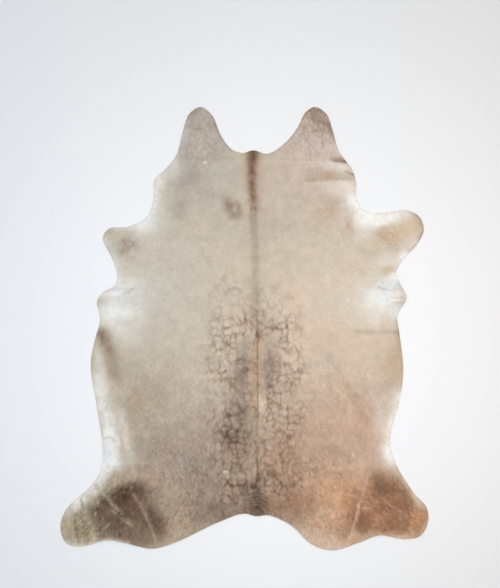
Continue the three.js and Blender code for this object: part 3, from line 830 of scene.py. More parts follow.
@dataclass(frozen=True)
class HairLay:
    """Which way the hair lies: from the neck to the tail and outwards, with sweeps down the legs."""

    outward: float = 0.6
    half_width: float = 900.0
    sweeps: tuple[Sweep, ...] = SWEEPS
    waver: Cloud = Cloud(Mottle(71), 0.22, 60, 2)

    def heading(self, x: Array, y: Array) -> Array:
        """Add the pulls of all sweeps to the tailward lay, and let it waver.

        Args:
            x: Places across the hide.
            y: Places along the hide.

        Returns:
            Headings in radians from +X.
        """
        dx = self.outward * x / self.half_width
        dy = np.full(x.shape, -1.0)
        for sweep in self.sweeps:
            away = ((x - sweep.at[0]) ** 2 + (y - sweep.at[1]) ** 2) / sweep.reach**2
            pull = sweep.pull * np.exp(-away)
            dx = dx + pull * math.cos(math.radians(sweep.heading))
            dy = dy + pull * math.sin(math.radians(sweep.heading))
        return np.arctan2(dy, dx) + self.waver(x, y)


@dataclass(frozen=True)
class NetLayer:
    """Veins of one size: how dark they are, the usual size of the cells between them, and their seed."""

    share: float
    cell: float
    seed: int


@dataclass(frozen=True)
class VeinNet:
    """The net of dark veins: soft walls between seeded cells of several sizes, darkest where walls meet.

    Its lines widen tailward, and clouds bend them, break them and make the whole net uneven.
    """

    layers: tuple[NetLayer, ...] = (NetLayer(0.6, 54.0, 5), NetLayer(0.58, 35.0, 9), NetLayer(0.24, 22.0, 14))
    width: float = 6.6
    widening: Span = (0.75, 1200.0)
    width_limits: Span = (1.0, 1.2)
    ground: float = -0.1
    knot: float = 0.3
    knot_width: float = 2.0
    cell_tone: float = 0.1
    limits: Span = (-0.2, 1.2)
    bend: Push = Push(14.0, 40, 2, (50, 0), (0, 250))
    shake: Push = Push(6.0, 12, 1, (0, 90), (70, 0))
    breaks: Breaks = Breaks(0.65, Cloud(BROKEN, 1.6, 40, 2), (0.0, 1.3))
    layer_aside: float = 90.0
    uneven: Breaks = Breaks(0.85, Cloud(BROKEN, 0.6, 110, 2, (500, 0)), (0.3, 1.3))
    side: int = 64
    stray: Span = (0.05, 0.95)

    def cells(self, x: Array, y: Array, layer: NetLayer) -> tuple[Array, Array, Array]:
        """Compare the distances to the nearest three cell centres: equal ones mark walls and corners.

        Args:
            x: Places across the hide.
            y: Places along the hide.
            layer: Size and seed of the cells.

        Returns:
            How much further the second centre is than the first, and the third, in cells, and a random value
            from -1 to 1 that a whole cell shares.
        """
        u, v = x / layer.cell, y / layer.cell
        column, row = np.floor(u).astype(int), np.floor(v).astype(int)
        rng = np.random.default_rng(layer.seed)
        shifts = rng.uniform(*self.stray, (self.side, self.side, 2))
        values = rng.uniform(-1.0, 1.0, (self.side, self.side))
        away, shared = [], []
        for i, j in np.ndindex(3, 3):
            across, along = column + i - 1, row + j - 1
            near = across % self.side, along % self.side
            away.append(np.hypot(across + shifts[near][..., 0] - u, along + shifts[near][..., 1] - v))
            shared.append(values[near])
        order = np.argsort(away, axis=0)[:3]
        first, second, third = np.take_along_axis(np.array(away), order, axis=0)
        return second - first, third - first, np.take_along_axis(np.array(shared), order[:1], axis=0)[0]

    def zone(self, x: Array, y: Array) -> Array:
        """How far a place lies within the net, from nothing to one."""
        return strongest(VEINED, x, y) * (1.0 - strongest(UNVEINED, x, y))

    def darkness(self, x: Array, y: Array) -> Array:
        """Add a bell over each wall and a wider one over each corner, layer by layer.

        Args:
            x: Places across the hide.
            y: Places along the hide.

        Returns:
            How dark the net is at each place: about one on a line, and a little below nothing between them.
        """
        vx, vy = pushed(x, y, self.bend, self.shake)
        width = self.width * np.clip(self.widening[0] - y / self.widening[1], *self.width_limits)
        dark = np.full(x.shape, self.ground)
        for layer in self.layers:
            wall, corner, shared = self.cells(vx, vy, layer)
            broken = self.breaks(x + self.layer_aside * layer.seed, y)
            line = broken * np.exp(-((wall * layer.cell / width) ** 2))
            line += self.knot * np.exp(-((corner * layer.cell / (self.knot_width * width)) ** 2))
            dark += layer.share * (line + self.cell_tone * shared)
        return np.clip(self.zone(x, y) * dark * self.uneven(x, y), *self.limits)


@dataclass(frozen=True)
class Strand:
    """Hairs that hold together: their width, how far they run each way, and how strongly they show."""

    size: float
    half_run: float
    strength: float


@dataclass(frozen=True)
class HairGrain:
    """Light and dark in the hair: strands along its lay, curls across it, specks and tufts."""

    lay: HairLay = HairLay()
    net: VeinNet = VeinNet()
    strand: Strand = Strand(6.0, 8.0, 0.03)
    strand_aside: float = 555.0
    curl: Strand = Strand(10.0, 12.0, 0.27)
    curl_bend: Push = Push(7.0, 24, 1, (0, 0), (300, 0))
    curl_width: float = 0.3
    curl_mean: float = 0.35
    curl_breaks: Breaks = Breaks(0.6, Cloud(BROKEN, 1.6, 50, 2, (0, 80)), (0.0, 1.3))
    stops: int = 7
    stop_gain: float = 5.0
    speckle: float = 0.15
    specks: tuple[Cloud, Cloud] = (Cloud(GRAIN, 1.0, 6, 1, (200, 0)), Cloud(GRAIN, 0.3, 14, 1, (0, 300)))
    tufts: Cloud = Cloud(BROKEN, 0.09, 34, 3, (150, 0))
    shag: float = 0.16
    net_calm: float = 0.55

    def drawn_out(self, x: Array, y: Array, strand: Strand, turn: float = 0.0) -> Array:
        """Average cloudy values along the lay of the hair, or at an angle to it, so that they draw out.

        Args:
            x: Places across the hide.
            y: Places along the hide.
            strand: Width and run of a strand.
            turn: Angle between the strand and the lay, in radians.

        Returns:
            Values around zero that mostly lie within one.
        """
        heading = self.lay.heading(x, y) + turn
        run_x, run_y = np.cos(heading), np.sin(heading)
        stops = np.linspace(-strand.half_run, strand.half_run, self.stops)
        values = [GRAIN(x + stop * run_x, y + stop * run_y, strand.size) for stop in stops]
        return self.stop_gain * np.mean(values, axis=0)

    def shagginess(self, x: Array, y: Array) -> Array:
        """How rough the coat is: as the roughest shaggy part that reaches a place, and calmer in the net."""
        rough = np.maximum(self.shag, strongest(SHAGGY, x, y))
        return rough * (1.0 - self.net_calm * self.net.zone(x, y))

    def strands(self, x: Array, y: Array) -> Array:
        """Light and dark around zero, as strong as the coat is rough."""
        hairs = self.strand.strength * self.drawn_out(x + self.strand_aside, y, self.strand)
        across = self.drawn_out(*pushed(x, y, self.curl_bend), self.curl, math.pi / 2)
        crests = np.exp(-((across / self.curl_width) ** 2))
        curls = self.curl.strength * (crests - self.curl_mean) * self.curl_breaks(x, y)
        specks = self.speckle * (self.specks[0](x, y) + self.specks[1](x, y))
        return self.shagginess(x, y) * (hairs + curls + specks + self.tufts(x, y))


@dataclass(frozen=True)
class CoatMap:
    """The markings and some painted shade and light: a ground colour, soft patches and streaks, a net of
    veins, bars and strands.
    """

    grain: HairGrain = HairGrain()
    ground: Tint = Tint.SAND
    drift: Push = Push(22.0, 150, 3, (0, 0), (400, 700))
    fray: Push = Push(8.0, 38, 2, (900, 0), (0, 500))
    rags: tuple[Cloud, Cloud] = (Cloud(BROKEN, 0.2, 70, 3), Cloud(GRAIN, 0.12, 16, 2, (0, 40)))
    streak_drift: float = 0.12
    streak_fray: Push = Push(2.5, 18, 1, (20, 60), (60, 20))
    streak_rag: Cloud = Cloud(GRAIN, 0.25, 11, 1, (90, 0))
    warmth: Cloud = Cloud(BROKEN, 1.0, 150, 3, (1400, 0))
    warm_shift: Colour = (0.012, -0.002, -0.012)
    vein_dark: Colour = (0.34, 0.395, 0.44)
    bar_dark: float = 0.38
    bar_pitch: float = 17.0
    bar_width: float = 0.5
    bar_bow: float = 0.15
    bar_centre: float = 63.0
    bar_waver: Cloud = Cloud(WARP, 8.0, 21, 1, (0, 30))
    pale_level: float = 245.0
    pale_span: float = 90.0
    pale_limits: Span = (0.2, 1.2)
    blotch: Cloud = Cloud(GRAIN, 0.045, 34, 3)
    daylight: float = 1.25

    def bars(self, x: Array, y: Array) -> Array:
        """Dark bars across the rippled hair along the spine, bowed tailward on both hands, from 0 to 1."""
        bowed = y + self.bar_bow * np.abs(x - self.bar_centre) + self.bar_waver(x, y)
        bar = np.exp(-((np.sin(math.pi * bowed / self.bar_pitch) / self.bar_width) ** 2))
        return bar * strongest(RIPPLED, x, y)

    @staticmethod
    def lay_over(colour: Array, marks: tuple[Patch | Streak, ...], x: Array, y: Array, share: Array) -> None:
        """Blend the colour of each marking into the coat's in turn.

        Args:
            colour: The coat's colours, which are changed.
            marks: The markings in order.
            x: Places across the hide at which the markings are read.
            y: Places along the hide at which they are read.
            share: How strongly they show at each place.
        """
        for mark in marks:
            cover = np.clip(mark.weight(x, y) * share, 0.0, 1.0)[..., None]
            colour += cover * (np.array(mark.tint.value, float) - colour)

    def tone(self, x: Array, y: Array) -> Array:
        """Lay every marking over the ground in turn, warm it in clouds, then darken the veins and bars.

        Each marking is read at a place that the clouds push about, so its rim is ragged. Strands are brushed
        in last, and show least on pale hair.

        Args:
            x: Places across the hide.
            y: Places along the hide.

        Returns:
            Linear colours, a row for each place.
        """
        colour = np.tile(np.array(self.ground.value, float), x.shape + (1,))
        wx, wy = pushed(x, y, self.drift, self.fray)
        ragged = 1.0 + self.rags[0](x, y) + self.rags[1](x, y)
        self.lay_over(colour, PATCHES, wx, wy, ragged)
        fray_x, fray_y = self.streak_fray(x, y)
        sx = x + self.streak_drift * (wx - x) + fray_x
        sy = y + self.streak_drift * (wy - y) + fray_y
        self.lay_over(colour, STREAKS, sx, sy, ragged + self.streak_rag(x, y))
        colour *= 1.0 + self.warmth(x, y)[..., None] * np.array(self.warm_shift)
        colour *= 1.0 - self.grain.net.darkness(x, y)[..., None] * np.array(self.vein_dark)
        colour *= 1.0 - self.bar_dark * self.bars(x, y)[..., None]
        depth = np.clip((self.pale_level - colour.mean(axis=-1)) / self.pale_span, *self.pale_limits)
        colour *= (1.0 + depth * self.grain.strands(x, y) + self.blotch(x, y))[..., None]
        return to_linear(colour) / self.daylight


class Shader:
    """A material in the making: nodes are added one by one, and then its surface."""

    def __init__(self, name: str) -> None:
        """Start a material with an empty node tree."""
        self.made = bpy.data.materials.new(name)
        self.made.use_nodes = True
        self.tree = self.made.node_tree
        self.tree.nodes.clear()

    def add(self, kind: str, inputs: dict, **settings: object) -> bpy.types.Node:
        """Add one node, set it up and fill its sockets.

        Args:
            kind: Blender's name for the node type, without the word that they all begin with.
            inputs: For each socket name or number, a value, or another node's output to link.
            settings: Properties of the node itself.

        Returns:
            The new node.
        """
        node = self.tree.nodes.new(f"ShaderNode{kind}")
        for key, value in settings.items():
            setattr(node, key, value)
        for key, value in inputs.items():
            if isinstance(value, bpy.types.NodeSocket):
                self.tree.links.new(value, node.inputs[key])
            else:
                node.inputs[key].default_value = value
        return node

    def place(self) -> Socket:
        """Places on the piece itself."""
        return self.add("TexCoord", {}).outputs["Object"]

    def noise(self, place: Socket, scale: float, detail: float, roughness: float = 0.5) -> Socket:
        """Cloudy noise from 0 to 1."""
        inputs = {"Vector": place, "Scale": scale, "Detail": detail, "Roughness": roughness}
        return self.add("TexNoise", inputs).outputs["Fac"]

    def spread(self, value: Socket, to: Span = (0.0, 1.0), start: Span = (0.0, 1.0)) -> Socket:
        """Carry values over from the start range to another."""
        ends = {"From Min": start[0], "From Max": start[1], "To Min": to[0], "To Max": to[1]}
        return self.add("MapRange", {"Value": value, **ends}).outputs["Result"]

    def between(self, share: Socket, first: Colour, second: Colour) -> Socket:
        """Go from the first colour to the second as the share goes from 0 to 1."""
        inputs = {"Factor": share, "A": (*first, 1.0), "B": (*second, 1.0)}
        return self.add("Mix", inputs, data_type="RGBA").outputs["Result"]

    def surface(self, inputs: dict) -> bpy.types.Material:
        """Finish the material with one surface and hand it over."""
        skin = self.add("BsdfPrincipled", inputs)
        self.add("OutputMaterial", {"Surface": skin.outputs["BSDF"]})
        return self.made


@dataclass(frozen=True)
class HairFinish:
    """Short cattle hair: the coat's own tone, broken by grain along the hair, with a soft sheen."""

    name: str
    shade: float = 1.0
    stretch: Point = (1.0, 0.22, 1.0)
    grain_scale: float = 340.0
    grain_detail: float = 3.0
    grain_roughness: float = 0.6
    grain_range: Span = (0.3, 0.7)
    levels: Span = (0.93, 1.06)
    roughness: Span = (0.5, 0.75)
    specular: float = 0.06
    sheen: float = 0.03
    sheen_roughness: float = 0.45

    def material(self) -> bpy.types.Material:
        """Multiply the tone layer by fine drawn-out noise, and vary the roughness with it."""
        shader = Shader(self.name)
        drawn = shader.add("Mapping", {"Vector": shader.place(), "Scale": self.stretch}).outputs["Vector"]
        grain = shader.noise(drawn, self.grain_scale, self.grain_detail, self.grain_roughness)
        levels = (self.levels[0] * self.shade, self.levels[1] * self.shade)
        level = shader.spread(grain, levels, self.grain_range)
        tone = shader.add("Attribute", {}, attribute_name=TONE_LAYER).outputs["Color"]
        dyed = shader.add("VectorMath", {0: tone, "Scale": level}, operation="SCALE")
        return shader.surface({
            "Base Color": dyed.outputs["Vector"],
            "Roughness": shader.spread(grain, self.roughness, self.grain_range),
            "Specular IOR Level": self.specular,
            "Sheen Weight": self.sheen,
            "Sheen Roughness": self.sheen_roughness,
        })


@dataclass(frozen=True)
class SuedeFinish:
    """The flesh side and the cut edge of the skin: pale napped leather, cloudy and a little rough."""

    name: str = "suede"
    light: Colour = (0.66, 0.58, 0.48)
    dark: Colour = (0.50, 0.42, 0.33)
    cloud_scale: float = 14.0
    cloud_detail: float = 6.0
    cloud_roughness: float = 0.65
    nap_scale: float = 700.0
    nap_detail: float = 2.0
    nap_strength: float = 0.35
    nap_depth: float = 0.0006
    roughness: Span = (0.8, 0.98)
    specular: float = 0.2
    sheen: float = 0.1

    def material(self) -> bpy.types.Material:
        """Blend two leather tones by cloudy noise, with a fine nap in the bump."""
        shader = Shader(self.name)
        place = shader.place()
        cloud = shader.noise(place, self.cloud_scale, self.cloud_detail, self.cloud_roughness)
        nap = shader.noise(place, self.nap_scale, self.nap_detail)
        bump = shader.add("Bump", {"Height": nap, "Strength": self.nap_strength, "Distance": self.nap_depth})
        return shader.surface({
            "Base Color": shader.between(cloud, self.dark, self.light),
            "Roughness": shader.spread(nap, self.roughness),
            "Normal": bump.outputs["Normal"],
            "Specular IOR Level": self.specular,
            "Sheen Weight": self.sheen,
        })


def make_piece(name: str, points: Array, triangles: Array, materials: list, tone: Array) -> bpy.types.Object:
    """Put points and triangles into a mesh piece with a colour layer.

    Args:
        name: Name of the piece.
        points: Places in millimetres, a row each.
        triangles: Rows of three point numbers, anticlockwise from outside.
        materials: The piece's materials in slot order.
        tone: Linear colour at each point.

    Returns:
        The new object, at the origin.
    """
    mesh = bpy.data.meshes.new(name)
    mesh.vertices.add(len(points))
    mesh.vertices.foreach_set("co", (points * MM).astype(np.float32).ravel())
    mesh.loops.add(triangles.size)
    mesh.loops.foreach_set("vertex_index", triangles.astype(np.int32).ravel())
    mesh.polygons.add(len(triangles))
    mesh.polygons.foreach_set("loop_start", np.arange(0, triangles.size, 3, dtype=np.int32))
    for material in materials:
        mesh.materials.append(material)
    layer = mesh.attributes.new(TONE_LAYER, "FLOAT_COLOR", "POINT")
    layer.data.foreach_set("color", np.column_stack([tone, np.ones(len(tone))]).astype(np.float32).ravel())
    mesh.update(calc_edges=True)
    mesh.validate()
    piece = bpy.data.objects.new(name, mesh)
    bpy.context.scene.collection.objects.link(piece)
    LOG.info("%s: %d points, %d triangles", name, len(points), len(triangles))
    return piece


def set_plan_uv(piece: bpy.types.Object, uv: Array) -> None:
    """Give a piece a UV map from one UV place for each corner of its triangles."""
    layer = piece.data.uv_layers.new(name=PLAN_UV)
    layer.data.foreach_set("uv", uv.astype(np.float32).ravel())


def plan_share(points: Array) -> Array:
    """Places seen from above as shares of their own box, for a UV map."""
    low, high = points[:, :2].min(axis=0), points[:, :2].max(axis=0)
    return (points[:, :2] - low) / (high - low)


# Blender's number for a filling that keeps only the triangles inside the given edges.
INSIDE_ONLY = 1
# The rim of the skin from its hair side round to its flesh side: inset from the edge, and height.
RIM_PROFILE: tuple[Place, ...] = ((2.4, 2.5), (1.2, 2.35), (0.35, 1.75), (0.0, 1.1), (0.35, 0.4), (1.3, 0.0))


@dataclass
class HideSkin:
    """The tanned skin: one creased sheet with a hair side, a rounded cut rim and a flesh side."""

    outline: HideOutline
    relief: Relief
    coat_map: CoatMap
    pitch: float = 9.0
    underside_pitch: float = 20.0
    edge_pitch: float = 5.0
    rim: tuple[Place, ...] = RIM_PROFILE
    rim_gap: float = 0.6
    weld: float = 1e-7

    def face(self, ring: Array, pitch: float, inset: float) -> tuple[Array, Array]:
        """Fill a ring with staggered points and triangles.

        Args:
            ring: Points round the rim of the face.
            pitch: Spacing of the points inside it.
            inset: How far the ring lies inside the outline.

        Returns:
            The points, the ring's first, and triangles that face upwards.
        """
        inner = self.outline.lattice(pitch, inset + self.rim_gap * pitch)
        plan = np.vstack([ring, inner])
        around = np.arange(len(ring))
        bounds = np.stack([around, np.roll(around, -1)], axis=1)
        places = [Vector(place) for place in plan.tolist()]
        result = delaunay_2d_cdt(places, bounds.tolist(), [], INSIDE_ONLY, self.weld)
        points = np.array([tuple(place) for place in result[0]])
        triangles = np.array(result[2])
        a, b, c = (points[triangles[:, k]] for k in range(3))
        area = (b[:, 0] - a[:, 0]) * (c[:, 1] - a[:, 1]) - (b[:, 1] - a[:, 1]) * (c[:, 0] - a[:, 0])
        triangles[area < 0.0] = triangles[area < 0.0][:, ::-1]
        return points, triangles

    def build(self, hair: bpy.types.Material, suede: bpy.types.Material) -> bpy.types.Object:
        """Join the hair side, the rim's profile carried round the edge, and the flesh side.

        Args:
            hair: Finish of the hair side.
            suede: Finish of the rim and the flesh side.

        Returns:
            The skin.
        """
        edge, outward = self.outline.ring(self.edge_pitch)
        count = len(edge)
        rings = [edge - inset * outward for inset, _ in self.rim]
        top, top_triangles = self.face(rings[0], self.pitch, self.rim[0][0])
        under, under_triangles = self.face(rings[-1], self.underside_pitch, self.rim[-1][0])
        plan = np.vstack([top, *rings[1:-1], under])
        heights = [height for _, height in self.rim]
        level = np.repeat(heights, [len(top), *[count] * (len(rings) - 2), len(under)])
        points = np.column_stack([plan, level + self.relief.lift(plan[:, 0], plan[:, 1])])

        starts = np.array([0, *[len(top) + count * k for k in range(len(rings) - 1)]])
        here, ahead = np.arange(count), np.roll(np.arange(count), -1)
        strips = [
            np.vstack([
                np.column_stack([upper + here, upper + ahead, lower + ahead]),
                np.column_stack([upper + here, lower + ahead, lower + here]),
            ])
            for upper, lower in zip(starts[:-1], starts[1:])
        ]
        triangles = np.vstack([top_triangles, *strips, under_triangles[:, ::-1] + starts[-1]])
        tone = self.coat_map.tone(points[:, 0], points[:, 1])
        skin = make_piece("hide_skin", points, triangles, [hair, suede], tone)
        hair_faces = len(top_triangles)
        slots = np.arange(len(triangles)) >= hair_faces
        skin.data.polygons.foreach_set("material_index", slots.astype(np.int32))
        skin.data.polygons.foreach_set("use_smooth", np.ones(len(triangles), bool))
        corner = plan_share(points)[triangles.ravel()]
        flesh_side = np.repeat(np.arange(len(triangles)) >= len(triangles) - len(under_triangles), 3)
        set_plan_uv(skin, np.column_stack([(corner[:, 0] + flesh_side) / 2.0, corner[:, 1]]))
        return skin


def steps_along(heading: Array) -> Array:
    """Steps of length one in the given headings, a row each."""
    return np.stack([np.cos(heading), np.sin(heading)], axis=1)


@dataclass
class HairCoat:
    """The coat: short flat locks over the whole hair side, and a fringe of finer ones along the edge."""

    outline: HideOutline
    relief: Relief
    coat_map: CoatMap
    skin_top: float = 2.5
    pitch: float = 4.0
    root_margin: float = 0.5
    root_jitter: float = 0.5
    length: float = 11.0
    shaggy_length: float = 0.4
    width: float = 3.2
    variety: Span = (0.7, 1.3)
    ridge_at: float = 0.42
    layers: float = 1.2
    crest: float = 0.45
    calm: float = 0.5
    shaggy_crest: float = 2.0
    tip_rise: float = 0.6
    # Brightness of each lock's points: painted shade at the root corners, painted light at the tip.
    root_shade_tip_light: tuple[float, ...] = (0.97, 0.97, 1.0, 1.04)
    scatter: float = 0.14
    overhang: float = 0.12
    least_fall: float = 1e-3
    least_length: float = 0.2
    shaggy_shade: float = 0.12
    shade_scatter: Span = (0.025, 0.03)
    shade_limits: Span = (0.7, 1.5)
    band_seed: int = 101
    fringe_seed: int = 211
    fringe_pitch: float = 2.0
    fringe_insets: Span = (3.0, 6.0)
    fringe_outward: float = 0.9
    fringe_scatter: float = 0.2
    fringe_length: float = 8.0
    fringe_variety: Span = (0.5, 1.1)
    fringe_overhang: float = 1.5
    fringe_width: float = 0.7
    fringe_shag: float = 0.5
    fringe_shade: Span = (0.98, 0.06)

    def locks(
        self, root: Array, heading: Array, length: Array, width: Array, shag: Array
    ) -> tuple[Array, Array]:
        """Shape every lock as a thin closed wedge with two root corners, a low ridge and a tip.

        A random layer decides how high each lock lies, and the shaggier the coat, the higher its ridge.

        Args:
            root: Plan place of each root.
            heading: Way each lock lies, in radians from +X.
            length: Length of each lock.
            width: Width of each lock at its root.
            shag: How rough the coat is at each root, from 0 to 1.

        Returns:
            Points, four for each lock, and triangles, four for each lock.
        """
        ahead = steps_along(heading)
        aside = np.stack([-ahead[:, 1], ahead[:, 0]], axis=1) * width[:, None] / 2.0
        ridge = root + ahead * (self.ridge_at * length)[:, None]
        plan = np.stack([root + aside, root - aside, ridge, root + ahead * length[:, None]], axis=1)
        chance = np.random.default_rng(len(root)).uniform(0.0, 1.0, len(root))
        layer = self.layers * (self.calm + shag) * chance
        crest = self.crest * (self.calm + self.shaggy_crest * shag)
        rise = np.stack([layer, layer, layer + crest, layer + self.tip_rise * crest], axis=1)
        lift = self.relief.lift(plan[..., 0], plan[..., 1])
        level = (1.0 - self.ridge_at) / 2.0 * (lift[:, 0] + lift[:, 1]) + self.ridge_at * lift[:, 3]
        lift[:, 2] = np.maximum(lift[:, 2], level)
        height = self.skin_top + rise + lift
        points = np.concatenate([plan, height[..., None]], axis=2).reshape(-1, 3)
        wedge = np.array([[0, 1, 2], [1, 3, 2], [3, 0, 2], [0, 3, 1]])
        triangles = (4 * np.arange(len(root))[:, None, None] + wedge[None]).reshape(-1, 3)
        return points, triangles

    def cut_short(self, length: Array, room: Array, run: Array) -> Array:
        """Shorten the locks that run further towards the edge than they have room."""
        return length * np.clip(room / np.maximum(run, self.least_fall), self.least_length, 1.0)

    def dye(self, points: Array, shade: Array) -> Array:
        """Colour locks by the markings at root, ridge and tip, with painted shade at the root and painted
        light at the tip.

        Args:
            points: Points of the locks, four for each.
            shade: Brightness of each lock.

        Returns:
            Linear colour at each point.
        """
        corners = points.reshape(-1, 4, 3)
        root = corners[:, :2].mean(axis=1)
        stops = np.stack([root, corners[:, 2], corners[:, 3]], axis=1)
        tone = self.coat_map.tone(stops[..., 0], stops[..., 1]) * shade[:, None, None]
        return (tone[:, [0, 0, 1, 2]] * np.array(self.root_shade_tip_light)[None, :, None]).reshape(-1, 3)

    def make(
        self, name: str, locks: tuple[Array, Array], shade: Array, hair: bpy.types.Material
    ) -> bpy.types.Object:
        """Make one piece of the coat from its locks."""
        points, triangles = locks
        piece = make_piece(name, points, triangles, [hair], self.dye(points, shade))
        piece.data.polygons.foreach_set("use_smooth", np.zeros(len(triangles), bool))
        set_plan_uv(piece, plan_share(points)[triangles.ravel()])
        return piece

    def build_band(self, band: Band, hair: bpy.types.Material) -> bpy.types.Object:
        """Comb locks over one band of the hide, longer where it is shaggy and cut short at its edge.

        Args:
            band: Which band.
            hair: Finish of the locks.

        Returns:
            The band's locks as one piece.
        """
        rng = np.random.default_rng(list(Band).index(band) + self.band_seed)
        root = self.outline.lattice(self.pitch, self.root_margin)
        low, high = band.value
        root = root[(root[:, 1] >= low) & (root[:, 1] < high)]
        root = root + rng.uniform(-self.root_jitter, self.root_jitter, root.shape) * self.pitch
        x, y = root.T
        grain = self.coat_map.grain
        shag = grain.shagginess(x, y)
        heading = grain.lay.heading(x, y) + rng.normal(0.0, self.scatter, len(root)) * (1.0 + shag)
        length = self.length * (1.0 + self.shaggy_length * shag) * rng.uniform(*self.variety, len(root))
        tip = root + length[:, None] * steps_along(heading)
        depth = self.outline.depth(x, y)
        length = self.cut_short(length, depth + self.overhang, depth - self.outline.depth(*tip.T))
        width = self.width * rng.uniform(*self.variety, len(root))
        uneven = self.shade_scatter[0] + self.shade_scatter[1] * shag
        shade = rng.normal(1.0 + self.shaggy_shade * shag, uneven).clip(*self.shade_limits)
        locks = self.locks(root, heading, length, width, shag)
        return self.make(f"coat_{band.name.lower()}", locks, shade, hair)

    def build_fringe(self, hair: bpy.types.Material) -> bpy.types.Object:
        """Set fine locks along the edge that lie outwards over the cut rim.

        Args:
            hair: Finish of the locks.

        Returns:
            The fringe as one piece.
        """
        rng = np.random.default_rng(self.fringe_seed)
        edge, outward = self.outline.ring(self.fringe_pitch)
        root = np.vstack([edge - inset * outward for inset in self.fringe_insets])
        facing = np.vstack([outward, outward])
        ahead = self.fringe_outward * facing + steps_along(self.coat_map.grain.lay.heading(*root.T))
        heading = np.arctan2(ahead[:, 1], ahead[:, 0]) + rng.normal(0.0, self.fringe_scatter, len(root))
        length = self.fringe_length * rng.uniform(*self.fringe_variety, len(root))
        reach = (np.cos(heading) * facing[:, 0] + np.sin(heading) * facing[:, 1]) * length
        inset = np.repeat(self.fringe_insets, len(edge))
        length = self.cut_short(length, inset + self.fringe_overhang * self.overhang, reach)
        width = self.fringe_width * self.width * rng.uniform(*self.variety, len(root))
        locks = self.locks(root, heading, length, width, np.full(len(root), self.fringe_shag))
        return self.make("edge_fringe", locks, rng.normal(*self.fringe_shade, len(root)), hair)


@dataclass(frozen=True)
class FloorFinish:
    """A plain pale studio floor that turns from a cool white on the left to a warm one on the right, a
    painted cast of cool light from the left and warm light on the right.
    """

    name: str = "floor"
    cool: Colour = (0.647, 0.675, 0.704)
    warm: Colour = (0.66, 0.656, 0.661)
    reach: float = 1.1
    roughness: float = 0.85
    specular: float = 0.2

    def material(self) -> bpy.types.Material:
        """Blend two near whites evenly across the floor."""
        shader = Shader(self.name)
        axes = shader.add("SeparateXYZ", {"Vector": shader.place()})
        across = shader.spread(axes.outputs["X"], start=(-self.reach, self.reach))
        return shader.surface({
            "Base Color": shader.between(across, self.cool, self.warm),
            "Roughness": self.roughness,
            "Specular IOR Level": self.specular,
        })


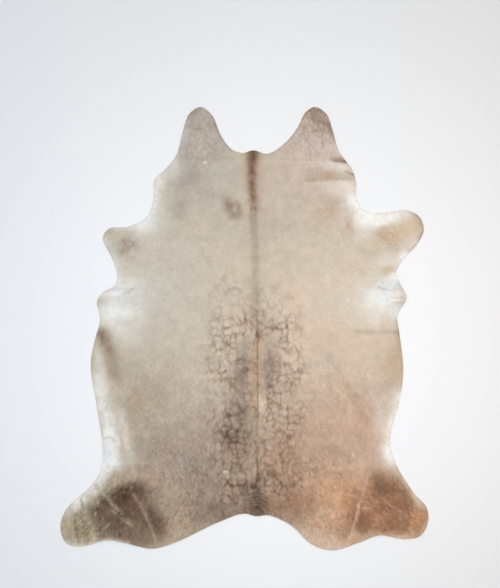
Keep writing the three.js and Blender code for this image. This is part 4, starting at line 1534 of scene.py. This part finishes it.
@dataclass
class Studio:
    """Floor, light and the camera that looks straight down on the hide, in metres."""

    floor_half: float = 20.0
    floor_cells: int = 40
    floor_drop: float = 0.0004
    view_centre: Place = (0.0267, 0.1676)
    view_height: float = 2.867
    camera_height: float = 5.0
    sensor_width: float = 36.0
    sky: Colour = (1.0, 1.0, 1.0)
    sky_strength: float = 0.66
    key_strength: float = 1.65
    key_tilt: float = 50.0
    key_softness: float = 30.0
    key_distance: float = 6.0
    pool_power: float = 12.5
    pool_place: Place = (0.25, -0.05)
    pool_height: float = 6.5
    pool_size: float = 2.5
    pool_spread: float = 34.0

    def build_floor(self) -> None:
        """Lay a square of small squares just under the hide."""
        side = np.linspace(-self.floor_half, self.floor_half, self.floor_cells + 1)
        x, y = np.meshgrid(side, side, indexing="ij")
        number = np.arange(x.size).reshape(x.shape)
        corners = [number[:-1, :-1], number[1:, :-1], number[1:, 1:], number[:-1, 1:]]
        quads = np.stack(corners, axis=-1).reshape(-1, 4)
        points = np.column_stack([x.ravel(), y.ravel(), np.full(x.size, -self.floor_drop)])
        mesh = bpy.data.meshes.new("floor")
        mesh.from_pydata(points.tolist(), [], quads.tolist())
        mesh.materials.append(FloorFinish().material())
        floor = bpy.data.objects.new("floor", mesh)
        bpy.context.scene.collection.objects.link(floor)

    def add_light(self, name: str, kind: str, place: Point, aim: Point, **settings: float) -> None:
        """Hang one light and point it.

        Args:
            name: Name of the light.
            kind: Blender's name for the light type.
            place: Where it hangs.
            aim: The point that it faces.
            settings: Its strength, size and other properties.
        """
        lamp = bpy.data.lights.new(name, kind)
        for key, value in settings.items():
            setattr(lamp, key, value)
        light = bpy.data.objects.new(name, lamp)
        light.location = place
        light.rotation_euler = (Vector(aim) - Vector(place)).to_track_quat("-Z", "Y").to_euler()
        bpy.context.scene.collection.objects.link(light)

    def build_light(self) -> None:
        """Light the room evenly, with a soft key from the neck end and a pool of light overhead."""
        world = bpy.data.worlds.new("room")
        world.use_nodes = True
        backdrop = world.node_tree.nodes["Background"]
        backdrop.inputs["Color"].default_value = (*self.sky, 1.0)
        backdrop.inputs["Strength"].default_value = self.sky_strength
        bpy.context.scene.world = world
        tilt = math.radians(self.key_tilt)
        key_place = (0.0, self.key_distance * math.sin(tilt), self.key_distance * math.cos(tilt))
        self.add_light(
            "key", "SUN", key_place, (0.0, 0.0, 0.0),
            energy=self.key_strength, angle=math.radians(self.key_softness),
        )
        self.add_light(
            "pool", "AREA", (*self.pool_place, self.pool_height), (*self.pool_place, 0.0),
            energy=self.pool_power, size=self.pool_size, spread=math.radians(self.pool_spread),
        )

    def build_camera(self) -> None:
        """Set the camera straight above, with the neck at the top of the picture."""
        lens = bpy.data.cameras.new("camera")
        lens.sensor_width = self.sensor_width
        lens.lens = lens.sensor_width * self.camera_height / self.view_height
        camera = bpy.data.objects.new("camera", lens)
        camera.location = (*self.view_centre, self.camera_height)
        bpy.context.scene.collection.objects.link(camera)
        bpy.context.scene.camera = camera
        bpy.context.scene.view_settings.view_transform = "Standard"

    def build(self) -> None:
        """Set up the whole studio."""
        self.build_floor()
        self.build_light()
        self.build_camera()


def main() -> None:
    """Build the skin, its coat and the studio, and tell the frame what each piece is."""
    logging.basicConfig(level=logging.INFO, format="%(name)s: %(message)s")
    outline, relief, coat_map = HideOutline(), Relief(), CoatMap()
    hair = HairFinish("hair").material()
    # The skin under the locks is a little darker: painted shade between the hair roots.
    roots = HairFinish("hair_roots", shade=0.97).material()
    skin = HideSkin(outline, relief, coat_map).build(roots, SuedeFinish().material())
    coat = HairCoat(outline, relief, coat_map)
    pieces = [coat.build_band(band, hair) for band in Band]
    pieces.append(coat.build_fringe(hair))
    for piece in [skin, *pieces]:
        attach(piece, BODY)
    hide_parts(NODE)
    Studio().build()


if __name__ == "__main__":
    main()
